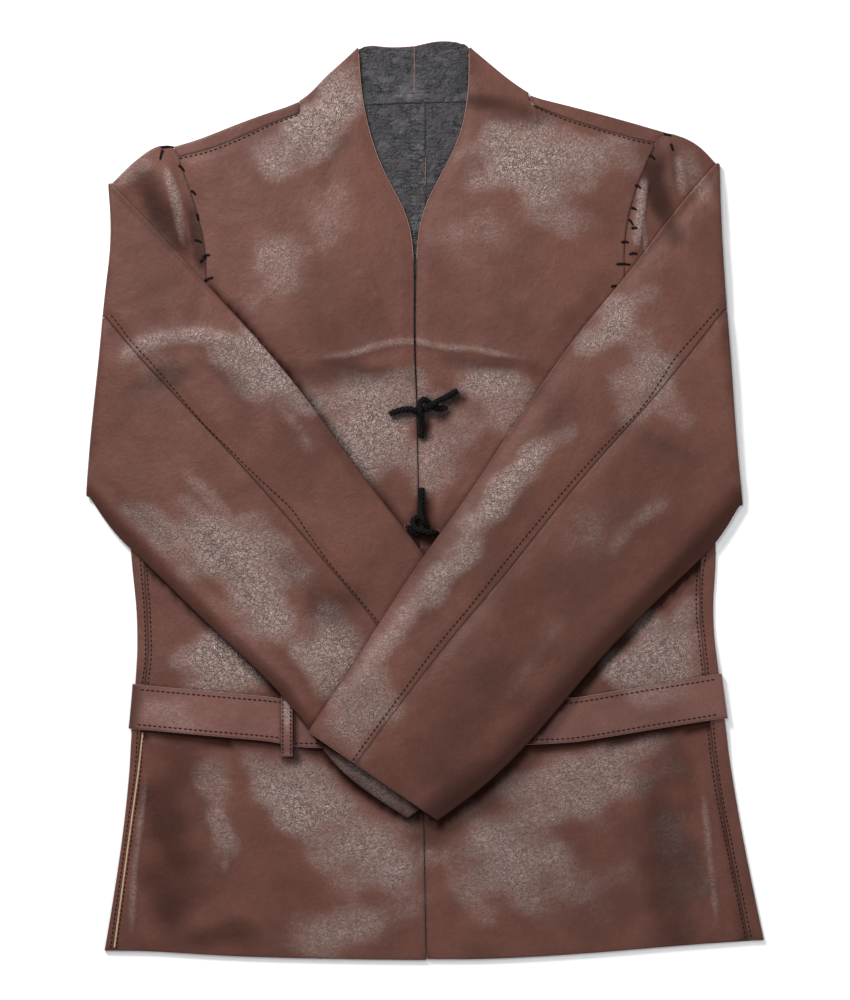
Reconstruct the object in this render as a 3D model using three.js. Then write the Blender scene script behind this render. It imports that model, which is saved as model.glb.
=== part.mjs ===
// A leather jacket laid flat on its back, fronts up, with both sleeves folded over the fronts and its
// belt round the waist. Millimetres, +Z up, +Y towards the collar, +X towards the wearer's left.
// Every piece is a wall of leather: a grid of points in the middle of the hide, moved out to both sides.

import * as THREE from 'three';

// ---------------------------------------------------------------- driving dimensions

const LEATHER = 1.4;            // thickness of the hide
const SEAM_GAP = 0.3;           // between two pieces that are sewn together
const LAYER = 2.5;              // between the middles of the back and the front that lies on it
const SLEEVE_LAYER = 2.6;       // between the middles of a sleeve's two layers, at its edges
const SLEEVE_PUFF = 0.8;        // how much further apart they are along the sleeve's middle
const SLEEVE_REST = 0.8;        // air under a sleeve where it lies on the jacket
const FRONT_LOFT = 2.0;         // how far the middle of a front stands up from its edges
const LOFT_SHARE = { edge: 0.35, side: 0.3 };   // share of a front's width over which it rises from each edge
const LOFT_HEM = { y: -418, rise: 90 };         // the hem, and the length over which it rises from there
const LOFT_SHOULDER = { x: 100, y: 358, outX: 230, outY: 312, rise: 70 };
const EDGE_TURN = LAYER / 2;    // radius of the turn where the back wraps to the front
const FOLD_INSET = EDGE_TURN + LEATHER / 2;   // from the jacket's outline to the start of that turn

const BELT_WIDTH = 41;
const BELT_THICKNESS = 2.2;
const BELT_CLEAR = 0.3;         // from the belt to the body, above and below it
const BELT_SIDE_CLEAR = 0.6;    // and at the sides
const BELT_LIFT = BELT_THICKNESS + BELT_CLEAR;
const BELT_TURN = 9;            // how far in from the side the belt starts to turn
const BELT_SIDE = { right: { x: -266, flatX: -256 }, left: { x: 270, flatX: 258 } };
const BELT_FULL = 36;           // the body is fully lifted this far from the belt's centre line
const BELT_RAMP = 25;           // and is down on the floor again after this much more
const BELT_END_ON_TOP = -40;    // x of the belt's upper end
const BELT_END_BELOW = 20;      // x of its lower end, which the upper one covers
const BELT_END_FULL = 8;        // the upper end is fully lifted this far past the lower one
const BELT_END_RAMP = 15;       // and is down on the front after this much more

const LOOP = { x: -125.8, width: 10.8, top: -175, bottom: -234.4, foot: 6, ramp: 4, clear: 1.4 };

const CORD_DIAMETER = 5.6;
const CORD_SIDES = 8;
const CORD_STEPS = 34;

const SLEEVE_MARGIN = 26;       // a sleeve keeps its full lift this far past what it climbs over
const SLEEVE_RAMP = 60;         // and comes down over this length
const SLEEVE_OVER_LOOP = { lift: 1.9, full: 26, ramp: 30 };
const SLEEVE_OVER_SLEEVE_RAMP = 50;

const BROWN = 0x6c4a40;
const CHARCOAL = 0x3a3838;
const BLACK = 0x101012;

// ---------------------------------------------------------------- tables

// A table has named columns: each row becomes an object with those names.
function table(columns, rows) {
  const names = columns.split(' ');
  return rows.map((row) => Object.fromEntries(names.map((name, i) => [name, row[i]])));
}

// Where the side folds over (the outline), and the side seam on the front, from the hem to the armpit.
const SIDE = {
  right: table('y fold seam', [
    [-413.5, -293.8, -285.5],
    [-341, -281.6, -275.6],
    [-292.6, -274.8, -269],
    [-247.9, -270.9, -262.8],
    [-211.1, -269, -260.4],
    [-166.5, -265, -255.8],
    [-139.4, -263.7, -253.1],
    [-97.2, -264, -254.6],
    [-67.6, -267.9, -257],
    [-42.3, -271.4, -258.4],
    [55, -272.3, -259.6],
  ]),
  left: table('y fold seam', [
    [-403.7, 312.6, 298.2],
    [-345.6, 300.3, 286.4],
    [-304.5, 292, 278],
    [-271.4, 285.8, 271.4],
    [-234.6, 280.6, 266],
    [-200.6, 276.6, 262.4],
    [-156.4, 270.5, 258.2],
    [-128.8, 267.3, 255.4],
    [-97.2, 265, 252.6],
    [-65.3, 267.3, 253.6],
    [-40.1, 271.4, 256],
    [55, 258.5, 246],
  ]),
};

// The armhole runs from the shoulder tip to the armpit and bulges towards the neck. The powers of the
// sine that shapes the bulge differ above and below its middle.
const ARMHOLE = {
  right: { tipX: -231.8, tipY: 324.8, pitX: -272.3, pitY: 55, bulge: 51, upper: 1, lower: 1.6 },
  left: { tipX: 222.5, tipY: 338, pitX: 258.5, pitY: 55, bulge: 56, upper: 0.78, lower: 1.6 },
};
const SLEEVE_CAP_INSET = 0.034; // share of the armhole left open at the shoulder tip
const SLEEVE_PIT_INSET = 0.02;  // and at the armpit
const CAP_CLEAR = 0.7;          // between the back and the turn of the sleeve's cap
const ARMHOLE_STOPS = [0, 0.1, 0.21, 0.32, 0.43, 0.54, 0.66, 0.78, 0.89, 1];
const ELBOW_SEAM_STOP = 4;      // the sleeve's back seam starts at this stop, on the lower layer
const UNDERARM_SEAM_STOP = 8;   // and its underarm seam at this one, on the upper layer

// The hem, from the centre to the side.
const HEM = {
  right: table('x y', [[2.2, -422], [-65.7, -421.2], [-162.8, -418.9], [-205, -416.8], [-259.4, -413.2], [-293.8, -413.4]]),
  left: table('x y', [[2.2, -420.9], [49.7, -421], [139.8, -416.4], [222.2, -409.6], [312.6, -403.7]]),
};

// The fold along the shoulder (the outline) and the shoulder seam, which lies a little forward of it.
const SHOULDER = {
  right: table('foldX foldY seamX seamY', [
    [-116.5, 365.5, -115.6, 356],
    [-146.6, 356, -142, 346.6],
    [-175.7, 345.2, -169, 334],
    [-206.5, 332.6, -199, 322.4],
    [-230, 325.7, -227, 316],
  ]),
  left: table('foldX foldY seamX seamY', [
    [99.4, 371.7, 101.2, 363.6],
    [132.5, 363.6, 132.5, 351],
    [161.5, 356, 161.5, 342.2],
    [190.4, 348.1, 190.4, 333.6],
    [222.5, 338.6, 213.3, 328.7],
  ]),
};

// The collar's fold at the side of the neck, and the line where the front's collar meets the back's.
const COLLAR = {
  right: table('foldX foldY joinX joinY', [
    [-115.3, 367.4, -105.5, 367.4],
    [-105.8, 373.5, -97, 375],
    [-94.2, 386.9, -86.5, 387],
    [-74.9, 404.2, -68, 404],
    [-61.3, 416.8, -54.5, 418],
  ]),
  left: table('foldX foldY joinX joinY', [
    [96.5, 375.2, 87.5, 375],
    [80, 386.2, 73.5, 384.5],
    [66, 397.6, 59.5, 395],
    [54.9, 407, 49, 404.5],
    [42.6, 417.2, 36.2, 420],
  ]),
};
const COLLAR_TOP = {
  right: table('x y', [[-9, 418.3], [-26.1, 417.3], [-37.2, 417.7], [-48, 419]]),
  left: table('x y', [[-9, 418.3], [-0.2, 420.4], [12, 422.8], [28, 422.4]]),
};
const NECK_SEAM = {
  right: table('x y', [[-9, 370.6], [-77.3, 366], [-114.5, 365.2]]),
  left: table('x y', [[-9, 370.6], [42.3, 372], [97.4, 372]]),
};

// The front edge from the armpit's height to the foot of the neckline, and the neckline to the collar's top.
const FRONT_EDGE = {
  right: table('x y', [
    [-6.3, 55], [-6.9, 92.9], [-8.5, 119.6], [-9.8, 150], [-8.9, 203], [-10.2, 242.9], [-16.2, 273.2],
    [-33.5, 294], [-42.5, 311], [-52.6, 347], [-58.9, 381.8], [-61.2, 415.4],
  ]),
  left: table('x y', [
    [-5.4, 55], [-5.9, 92.9], [-7.1, 119.6], [-7.8, 150], [-7.2, 203], [-5.8, 240.1], [-1.5, 275.5],
    [14.5, 297.7], [27, 315.5], [39.2, 353.3], [42.4, 390], [42.2, 416],
  ]),
};
const FRONT_EDGE_FOOT = 2.2;    // x of the front edges at the hem; from there they run straight up
const FRONT_EDGE_PIT = -5.85;   // to this x at the armpit's height
const FRONT_EDGE_GAP = 0.9;     // between the two front edges, which only meet
const BACK_SEAM = { hemX: 2.2, neckX: -9 };

// Heights of the grid's rows at the middle of the front, from the hem to the armpit. Those round the
// waist follow the belt.
const ROW_HEIGHTS = table('y follows', [
  [-370, 0.1],
  [-312, 0.5],
  [-264, 1],
  [-251, 1],
  [-239, 1],
  [-203, 1],
  [-167, 1],
  [-154, 1],
  [-142, 1],
  [-105, 0.6],
  [-55, 0.2],
  [0, 0],
  [55, 0],
]);

// The belt's centre line in plan.
const BELT_LINE = table('x y', [
  [-270.5, -188.3], [-133.4, -200.6], [-119.6, -205.2], [-96.6, -206.1], [0, -206.1], [101.2, -202.9],
  [139.8, -200.7], [201.5, -190.4], [242.9, -183.8], [277.8, -178],
]);
const BELT_LEVEL = -203;

// The sleeves. The fold is where a sleeve turns back over the front; each row after it is a section from
// the overarm edge to the underarm edge, and seam is the share of that width at which the back seam lies.
const SLEEVE_FOLD = {
  right: table('x y', [
    [-290.9, 292], [-288.3, 267.7], [-288.5, 226], [-293.6, 192], [-297.4, 148], [-300.2, 120],
    [-306.2, 65], [-311, 3.7],
  ]),
  left: table('x y', [
    [272.2, 310.4], [272.4, 286.1], [275.8, 214.4], [281.9, 137.1], [288.2, 47.8], [293.5, -4.6],
  ]),
};
// How far the cap rises over the line from the armhole to the fold. way is the share of that line.
const SLEEVE_CROWN = {
  right: table('way rise', [[0, 0], [0.04, 5.8], [0.12, 12.4], [0.28, 17], [0.5, 14.6], [0.75, 9], [1, 0]]),
  left: table('way rise', [[0, 0], [0.04, 0.3], [0.12, 6.6], [0.28, 12.6], [0.5, 13], [0.75, 10], [1, 0]]),
};
const SLEEVE_SECTIONS = {
  right: table('overX overY underX underY seam', [
    [-290.9, 292, -311, 3.7, 0.43],
    [-243.3, 247.2, -285.5, -28.5, 0.42],
    [-200.8, 200.6, -255, -57.5, 0.42],
    [-157.8, 154.2, -225.2, -87, 0.42],
    [-116.8, 106.2, -194.9, -116.2, 0.42],
    [-79.5, 55.3, -163.8, -144.4, 0.415],
    [-41.7, 4.6, -134.1, -173.9, 0.41],
    [-2.5, -45.1, -107, -206.1, 0.405],
    [32.3, -98, -83.1, -240.7, 0.4],
    [66.8, -151.2, -51.1, -267.5, 0.4],
    [101.2, -204.2, -15.9, -290.7, 0.4],
  ]),
  left: table('overX overY underX underY seam', [
    [272.2, 310.4, 293.5, -4.6, 0.43],
    [227, 262.3, 269, -38.1, 0.42],
    [188.8, 210.5, 241.1, -65.6, 0.42],
    [146.9, 161.6, 212, -93.3, 0.42],
    [109.2, 109.5, 183.4, -121.8, 0.41],
    [73, 56.1, 155.8, -151.2, 0.4],
    [38, 2.2, 129.4, -181.8, 0.385],
    [-0.5, -49.6, 103.2, -212.5, 0.37],
    [-35.9, -103, 75.4, -241.8, 0.355],
    [-71, -156.9, 45.3, -268.6, 0.35],
    [-106.2, -210.3, 12.8, -292.2, 0.365],
  ]),
};

// Soft ridges (height above 0) and troughs (below 0) pressed into the hide, each along a short line.
const BODY_FOLDS = table('x0 y0 x1 y1 height width', [
  [-100, 133, -38, 139, 1.5, 9],
  [-38, 139, 40, 141, 1.6, 8],
  [40, 141, 104, 129, 1.4, 9],
  [-92, 124, -44, 118, -0.7, 8],
  [4, 121, 62, 124, -0.6, 8],
  [22, 312, 56, 306, 0.9, 7],
  [-110, 318, -70, 350, 0.9, 12],
  [-254, -270, -262, -390, 1.1, 7],
  [258, -275, 272, -390, 1.1, 7],
  [-120, -300, -60, -340, 0.8, 14],
  [90, -300, 150, -350, 0.8, 15],
]);
const SLEEVE_FOLDS = {
  right: table('x0 y0 x1 y1 height width', [
    [-262, 120, -205, 150, 1.1, 16],
    [-270, 10, -200, -20, 1.2, 15],
    [-196, -30, -150, -90, 1, 14],
    [-150, 110, -118, 70, 0.9, 12],
  ]),
  left: table('x0 y0 x1 y1 height width', [
    [252, 60, 205, 90, 1.1, 16],
    [262, -10, 205, -10, 1.2, 15],
    [120, 55, -60, -200, 1.3, 13],
    [150, -60, 110, -150, 1, 14],
  ]),
};

// The ties. Each row is a point on the cord, h above the front that it lies on.
const TIES = {
  tie_upper_right: table('x y h', [
    [-31.3, 79.5, 2.85], [-29.2, 80.7, 3], [-25.8, 82.3, 3.1], [-19.3, 83.9, 3.1], [-12.9, 84.2, 3.1],
    [-7.4, 83.3, 3.1], [-2.8, 83, 3.4], [2.2, 84.8, 6.2], [6.9, 87.9, 9.2], [11, 90.6, 8.4],
    [16, 93.3, 5.2], [20.5, 95.5, 3.6], [25.5, 98.4, 3.2], [30.6, 101.4, 3.1],
  ]),
  tie_upper_left: table('x y h', [
    [20.2, 85.6, 2.85], [18.2, 85.3, 3], [15.2, 85, 3.1], [11, 85.6, 3.1], [6.9, 87.9, 3.1],
    [3.2, 91.6, 4.4], [-0.6, 93, 6.3], [-3.6, 90, 8.4], [-4, 85.6, 9.4], [-3.4, 80.6, 9],
    [-2.8, 75, 5.8], [-2.6, 69.6, 3.5], [-2.6, 64, 3.1], [-2.8, 58.5, 3.1],
  ]),
  tie_lower_right: table('x y h', [
    [-15.2, -23.5, 2.85], [-13.8, -24.8, 3], [-11.2, -27.2, 3.1], [-7.2, -29.6, 3.1], [-2.6, -30, 3.1],
    [1.2, -27, 3.4], [2, -22.4, 5.6], [-0.6, -18, 9], [-2.8, -12.6, 8.6], [-3.2, -6.8, 5.2],
    [-2.8, -1.6, 3.5], [-2.3, 4.4, 3.1], [-1.9, 12, 3.1],
  ]),
  tie_lower_left: table('x y h', [
    [12.2, -29.1, 2.6], [10.6, -29.2, 3.6], [8, -29.1, 6], [4.2, -28.6, 8.6], [-0.8, -27.3, 9.6],
    [-6, -25.9, 9.5], [-9.4, -23, 8.2], [-10.2, -19.2, 6.2], [-8.4, -16.2, 4.3], [-4.8, -15.4, 3.1],
    [-1, -16, 3.1],
  ]),
};

// ---------------------------------------------------------------- small helpers

const lerp = THREE.MathUtils.lerp;
const clamp = THREE.MathUtils.clamp;
const SIGN = { right: -1, left: 1 };

// 1 up to full, then down a straight ramp to 0.
const plateau = (distance, full, ramp) => clamp(1 - (distance - full) / ramp, 0, 1);

// 0 to 1 with level ends.
const ease = (t) => THREE.MathUtils.smoothstep(t, 0, 1);

// The value of one column where another column, which only rises or only falls, has the given value.
function lookUp(rows, at, from, want) {
  const falling = rows[0][from] > rows[rows.length - 1][from];
  const ahead = (row) => (falling ? row[from] < at : row[from] > at);
  const next = clamp(rows.findIndex(ahead), 0, rows.length - 1) || (ahead(rows[0]) ? 1 : rows.length - 1);
  const [a, b] = [rows[next - 1], rows[next]];
  return lerp(a[want], b[want], clamp((at - a[from]) / (b[from] - a[from]), 0, 1));
}

// A smooth curve through two columns of a table.
function curveOf(rows, x = 'x', y = 'y') {
  const points = rows.map((row) => new THREE.Vector3(row[x], row[y], 0));
  return new THREE.CatmullRomCurve3(points, false, 'centripetal');
}

const planPoint = (p) => [p.x, p.y];
const evenly = (curve, count) => curve.getSpacedPoints(count).map(planPoint);

// How far a point is from a line between two points, in plan.
function segmentDistance(x, y, x0, y0, x1, y1) {
  const [dx, dy] = [x1 - x0, y1 - y0];
  const t = clamp(((x - x0) * dx + (y - y0) * dy) / (dx * dx + dy * dy), 0, 1);
  return Math.hypot(x - x0 - t * dx, y - y0 - t * dy);
}

function foldHeight(folds, x, y) {
  return folds.reduce((sum, f) => {
    const away = segmentDistance(x, y, f.x0, f.y0, f.x1, f.y1) / f.width;
    return sum + f.height * Math.exp(-away * away);
  }, 0);
}

// ---------------------------------------------------------------- heights

const beltY = (x) => lookUp(BELT_LINE, x, 'x', 'y');

// How far the body is lifted by the belt that runs under its back.
const beltLift = (x, y) => BELT_LIFT * plateau(Math.abs(y - beltY(x)), BELT_FULL, BELT_RAMP);

function armhole(half, w) {
  const a = ARMHOLE[half];
  const bulge = a.bulge * Math.sin(Math.PI * clamp(w, 0, 1)) ** (w < 0.5 ? a.upper : a.lower);
  return [lerp(a.tipX, a.pitX, w) - SIGN[half] * bulge, lerp(a.tipY, a.pitY, w)];
}

function frontEdgeX(half, y) {
  const upper = FRONT_EDGE[half];
  if (y > upper[0].y) return lookUp(upper, y, 'y', 'x');
  const middle = lerp(FRONT_EDGE_FOOT, FRONT_EDGE_PIT, (y - HEM.right[0].y) / (upper[0].y - HEM.right[0].y));
  return middle + SIGN[half] * FRONT_EDGE_GAP / 2;
}

// The front's outer edge at a height: the side seam, and the armhole above it.
function frontSideX(half, y) {
  const a = ARMHOLE[half];
  if (y < a.pitY) return lookUp(SIDE[half], y, 'y', 'seam');
  return armhole(half, (a.tipY - y) / (a.tipY - a.pitY))[0];
}

// The fronts stand up a little between their edges.
function frontLoft(x, y) {
  const half = x < frontEdgeX('right', y) + FRONT_EDGE_GAP / 2 ? 'right' : 'left';
  const edge = frontEdgeX(half, y);
  const t = (x - edge) / (frontSideX(half, y) - edge);
  const s = LOFT_SHOULDER;
  const shoulder = lerp(s.y, s.outY, clamp((Math.abs(x) - s.x) / (s.outX - s.x), 0, 1));
  const across = ease(t / LOFT_SHARE.edge) * ease((1 - t) / LOFT_SHARE.side);
  const along = ease((y - LOFT_HEM.y) / LOFT_HEM.rise) * ease((shoulder - y) / s.rise);
  return FRONT_LOFT * across * along;
}

const backMiddle = (x, y) => LEATHER / 2 + beltLift(x, y);
const plainFront = (x, y) => backMiddle(x, y) + LAYER + frontLoft(x, y);
const frontMiddle = (x, y) => plainFront(x, y) + foldHeight(BODY_FOLDS, x, y);
const frontTop = (x, y) => frontMiddle(x, y) + LEATHER / 2;

// The second turn of the belt over its own lower end.
const beltOverlap = (x) => plateau(x - BELT_END_BELOW, BELT_END_FULL, BELT_END_RAMP);

function beltMiddle(x, y) {
  return plainFront(x, y) + LEATHER / 2 + BELT_CLEAR + BELT_THICKNESS / 2;
}

function sleeveOutline(half) {
  const rows = SLEEVE_SECTIONS[half];
  return [
    ...rows.map((r) => [r.overX, r.overY]),
    ...rows.map((r) => [r.underX, r.underY]).reverse(),
  ];
}

// Distance from a closed outline, 0 inside it.
function outsideDistance(outline, x, y) {
  let inside = false;
  let nearest = Infinity;
  outline.forEach(([x0, y0], i) => {
    const [x1, y1] = outline[(i + 1) % outline.length];
    if (y0 > y !== y1 > y && x < ((x1 - x0) * (y - y0)) / (y1 - y0) + x0) inside = !inside;
    nearest = Math.min(nearest, segmentDistance(x, y, x0, y0, x1, y1));
  });
  return inside ? 0 : nearest;
}

const LOWER_SLEEVE = sleeveOutline('right');
const SLEEVE_STACK = SLEEVE_LAYER + SLEEVE_PUFF + LEATHER + 2 * SLEEVE_REST;

// The height that a sleeve lies on: the front, the belt, its loop, and for the upper sleeve the lower one.
function sleeveFloor(half, x, y) {
  const fromBelt = plateau(Math.abs(y - beltY(x)), BELT_WIDTH / 2 + SLEEVE_MARGIN, SLEEVE_RAMP);
  const middleOfEnds = (BELT_END_ON_TOP + BELT_END_BELOW) / 2;
  const endsReach = (BELT_END_BELOW - BELT_END_ON_TOP) / 2 + BELT_END_FULL + SLEEVE_MARGIN;
  const fromEnds = plateau(Math.abs(x - middleOfEnds), endsReach, SLEEVE_RAMP);
  const { lift, full, ramp } = SLEEVE_OVER_LOOP;
  const overLoop = lift * plateau(segmentDistance(x, y, LOOP.x, LOOP.top, LOOP.x, LOOP.bottom), full, ramp);
  const overBelt = fromBelt * (2 * BELT_LIFT + fromEnds * BELT_LIFT);
  const flatFront = LEATHER + LAYER + frontLoft(x, y);
  if (half === 'right') return flatFront + overBelt + overLoop;
  const fromSleeve = plateau(outsideDistance(LOWER_SLEEVE, x, y), SLEEVE_MARGIN, SLEEVE_OVER_SLEEVE_RAMP);
  return flatFront + overBelt + overLoop + fromSleeve * SLEEVE_STACK;
}

// ---------------------------------------------------------------- walls

// A closed wall from a grid of points in the middle of the hide. A missing point leaves its squares out.
function wall(grid, thickness) {
  const ids = new Map();
  const key = (i, j) => `${i},${j}`;
  const quads = [];
  const normal = new Map();
  for (let i = 0; i + 1 < grid.length; i++) {
    for (let j = 0; j + 1 < grid[i].length; j++) {
      const corners = [[i, j], [i, j + 1], [i + 1, j + 1], [i + 1, j]];
      if (!corners.every(([a, b]) => grid[a][b])) continue;
      quads.push(corners);
      const [p, q, r, s] = corners.map(([a, b]) => grid[a][b]);
      const n = r.clone().sub(p).cross(s.clone().sub(q)).normalize();
      corners.forEach(([a, b]) => {
        if (!normal.has(key(a, b))) normal.set(key(a, b), new THREE.Vector3());
        normal.get(key(a, b)).add(n);
      });
    }
  }
  const positions = [];
  const place = (point, n, side) => {
    const p = point.clone().addScaledVector(n, (side * thickness) / 2);
    positions.push(p.x, p.y, p.z);
  };
  for (const corners of quads) {
    for (const [a, b] of corners) {
      if (ids.has(key(a, b))) continue;
      ids.set(key(a, b), positions.length / 3);
      const n = normal.get(key(a, b)).normalize();
      place(grid[a][b], n, 1);
      place(grid[a][b], n, -1);
    }
  }
  const edges = new Map();
  const index = [];
  for (const corners of quads) {
    const [a, b, c, d] = corners.map(([i, j]) => ids.get(key(i, j)));
    index.push(a, b, c, a, c, d, a + 1, c + 1, b + 1, a + 1, d + 1, c + 1);
    [[a, b], [b, c], [c, d], [d, a]].forEach(([from, to]) => {
      if (!edges.delete(`${to},${from}`)) edges.set(`${from},${to}`, [from, to]);
    });
  }
  for (const [from, to] of edges.values()) {
    index.push(from, from + 1, to + 1, from, to + 1, to);
  }
  return outward(positions, index);
}

// The geometry with its faces turned outwards, whichever way round the grid ran.
function outward(positions, index) {
  const corner = (i) => new THREE.Vector3().fromArray(positions, 3 * i);
  let volume = 0;
  for (let i = 0; i < index.length; i += 3) {
    volume += corner(index[i]).dot(corner(index[i + 1]).cross(corner(index[i + 2])));
  }
  if (volume < 0) index.reverse();
  const geometry = new THREE.BufferGeometry();
  geometry.setAttribute('position', new THREE.Float32BufferAttribute(positions, 3));
  geometry.setIndex(index);
  geometry.computeVertexNormals();
  return geometry;
}

const jacket = new THREE.Group();

function addPiece(name, geometry, color, roughness = 0.5) {
  const material = new THREE.MeshStandardMaterial({ color, roughness, metalness: 0 });
  const mesh = new THREE.Mesh(geometry, material);
  mesh.name = name;
  jacket.add(mesh);
}

// ---------------------------------------------------------------- panels in plan

// Shares of the way along a line of points.
function shares(points) {
  const steps = points.slice(1).map((p, i) => Math.hypot(p[0] - points[i][0], p[1] - points[i][1]));
  const total = steps.reduce((a, b) => a + b, 0);
  let sum = 0;
  return [0, ...steps.map((step) => (sum += step) / total)];
}

// A panel filled in between its four edges. Rows run from inner to outer, and the rows go from bottom to top.
function fillPanel(bottom, top, inner, outer) {
  const across = (a, b) => shares(a).map((s, i) => (s + shares(b)[i]) / 2);
  const [us, vs] = [across(bottom, top), across(inner, outer)];
  const blend = (k, i, j, u, v) => {
    const sides = lerp(inner[j][k], outer[j][k], u) + lerp(bottom[i][k], top[i][k], v);
    const low = lerp(bottom[0][k], bottom[bottom.length - 1][k], u);
    const high = lerp(top[0][k], top[top.length - 1][k], u);
    return sides - lerp(low, high, v);
  };
  return vs.map((v, j) => us.map((u, i) => [blend(0, i, j, u, v), blend(1, i, j, u, v)]));
}

// Samples a curve at the same shares of its length as another line of points.
const sampleLike = (curve, points) => shares(points).map((s) => planPoint(curve.getPointAt(s)));

const rowHeight = (row, x) => row.y + row.follows * (beltY(x) - BELT_LEVEL);

// Moves the rows round the waist so that they keep to the belt's line all the way across.
function followBelt(plan) {
  ROW_HEIGHTS.forEach((row, k) => {
    const points = plan[k + 1];
    const [x0, x1] = [points[0][0], points[points.length - 1][0]];
    points.forEach((p) => {
      const straight = lerp(beltY(x0), beltY(x1), (p[0] - x0) / (x1 - x0));
      p[1] += row.follows * (beltY(p[0]) - straight);
    });
  });
  return plan;
}

const liftTo = (plan, height) => new THREE.Vector3(plan[0], plan[1], height(plan[0], plan[1]));

// Points of a turn from one level to another level above or below it, outwards along a direction in plan.
function turn(start, out, rise, steps) {
  return Array.from({ length: steps }, (_, k) => {
    const angle = (Math.PI * (k + 1)) / steps;
    return new THREE.Vector3(
      start.x + out[0] * EDGE_TURN * Math.sin(angle),
      start.y + out[1] * EDGE_TURN * Math.sin(angle),
      start.z + (rise * (1 - Math.cos(angle))) / 2,
    );
  });
}

// ---------------------------------------------------------------- the two halves of the back

const TURN_STEPS = 4;           // round a turned edge
const LAP_STEPS = 1;            // and from there to the seam
const PIT_BLEND = 40;           // height over which the side's turn dies out above the armpit

function backPanel(half) {
  const sign = SIGN[half];
  const seamX = (y) => {
    const t = (y - HEM[half][0].y) / (NECK_SEAM[half][0].y - HEM[half][0].y);
    return lerp(BACK_SEAM.hemX, BACK_SEAM.neckX, t) + (sign * SEAM_GAP) / 2;
  };
  const foldX = (y) => lookUp(SIDE[half], y, 'y', 'fold') - sign * FOLD_INSET;

  const hem = HEM[half].map((p) => ({ ...p }));
  hem[0].x = seamX(hem[0].y);
  hem[hem.length - 1].x = foldX(hem[hem.length - 1].y);
  const edge = hem[hem.length - 1].x;

  const lowInner = ROW_HEIGHTS.map((row) => rowHeight(row, 0));
  const lowOuter = ROW_HEIGHTS.map((row) => rowHeight(row, edge));
  const upStops = [...ARMHOLE_STOPS.slice(1, -1).reverse(), SLEEVE_CAP_INSET, 0];
  const pit = ARMHOLE[half].pitY;
  const shoulderIn = planNormal(half, 'foldX', 'foldY', SHOULDER);
  const neck = NECK_SEAM[half];
  const tip = SHOULDER[half][SHOULDER[half].length - 1];
  const tipIn = [tip.foldX - shoulderIn[0] * FOLD_INSET, tip.foldY - shoulderIn[1] * FOLD_INSET];

  const outer = [
    [edge, hem[hem.length - 1].y],
    ...lowOuter.map((y) => [foldX(y), y]),
    ...upStops.map((w) => {
      const [x, y] = armhole(half, w);
      const inset = lerp(FOLD_INSET, SEAM_GAP / 2, ease((y - pit) / PIT_BLEND));
      return w === 0 ? tipIn : [x - sign * (inset + (w === SLEEVE_CAP_INSET ? CAP_CLEAR : 0)), y];
    }),
  ];
  const innerTop = neck[0].y;
  const inner = [
    [hem[0].x, hem[0].y],
    ...lowInner.map((y) => [seamX(y), y]),
    ...upStops.map((_, k) => {
      const y = lerp(pit, innerTop, (k + 1) / upStops.length);
      return [seamX(y), y];
    }),
  ];

  const neckLine = curveOf([{ x: inner[inner.length - 1][0], y: innerTop }, ...neck.slice(1)]);
  const neckPoints = evenly(neckLine, 3);
  const shoulderLine = curveOf(SHOULDER[half], 'foldX', 'foldY');
  const shoulderPoints = evenly(shoulderLine, 5).map(([x, y]) => [
    x - shoulderIn[0] * FOLD_INSET, y - shoulderIn[1] * FOLD_INSET,
  ]);
  const top = [...neckPoints, ...shoulderPoints];
  const bottom = sampleLike(curveOf(hem), top);
  outer[outer.length - 1] = top[top.length - 1];

  const plan = followBelt(fillPanel(bottom, top, inner, outer));
  const grid = plan.map((row) => row.map((p) => liftTo(p, backMiddle)));

  // Round the side and on to the front, as far as the side seam, below the armpit.
  const wrapColumns = TURN_STEPS + LAP_STEPS;
  const lastLow = ROW_HEIGHTS.length;
  grid.forEach((row, j) => {
    if (j > lastLow) {
      row.push(...Array(wrapColumns).fill(null));
      return;
    }
    const start = row[row.length - 1];
    const points = turn(start, [sign, 0], LAYER, TURN_STEPS);
    const seam = lookUp(SIDE[half], start.y, 'y', 'seam') + (sign * SEAM_GAP) / 2;
    const end = points[points.length - 1];
    row.push(...points, new THREE.Vector3(seam, end.y, end.z));
  });

  // Over the shoulder and down to the shoulder seam.
  const columns = grid[0].length;
  const firstShoulder = neckPoints.length;
  const seamPoints = evenly(curveOf(SHOULDER[half], 'seamX', 'seamY'), 5);
  const topRow = grid[grid.length - 1].slice();
  const rows = Array.from({ length: wrapColumns }, () => Array(columns).fill(null));
  for (let k = 0; k < shoulderPoints.length; k++) {
    const i = firstShoulder + k;
    const points = turn(topRow[i], shoulderIn, LAYER, TURN_STEPS);
    const end = points[points.length - 1];
    const [x, y] = seamPoints[k];
    const gap = SEAM_GAP / 2;
    points.push(new THREE.Vector3(x + shoulderIn[0] * gap, y + shoulderIn[1] * gap, end.z));
    points.forEach((p, r) => (rows[r][i] = p));
  }
  grid.push(...rows);
  return wall(grid, LEATHER);
}

// The direction in plan, square to the line from a table's first row to its last, away from the body.
function planNormal(half, x, y, source) {
  const rows = source[half];
  const [a, b] = [rows[0], rows[rows.length - 1]];
  const [dx, dy] = [b[x] - a[x], b[y] - a[y]];
  const length = Math.hypot(dx, dy);
  const n = [-dy / length, dx / length];
  return n[1] > 0 ? n : [-n[0], -n[1]];
}

// ---------------------------------------------------------------- the two fronts, with their collar

const NECK_NOTCH = 0.35;        // between the end of the shoulder seam and the collar's fold

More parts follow.
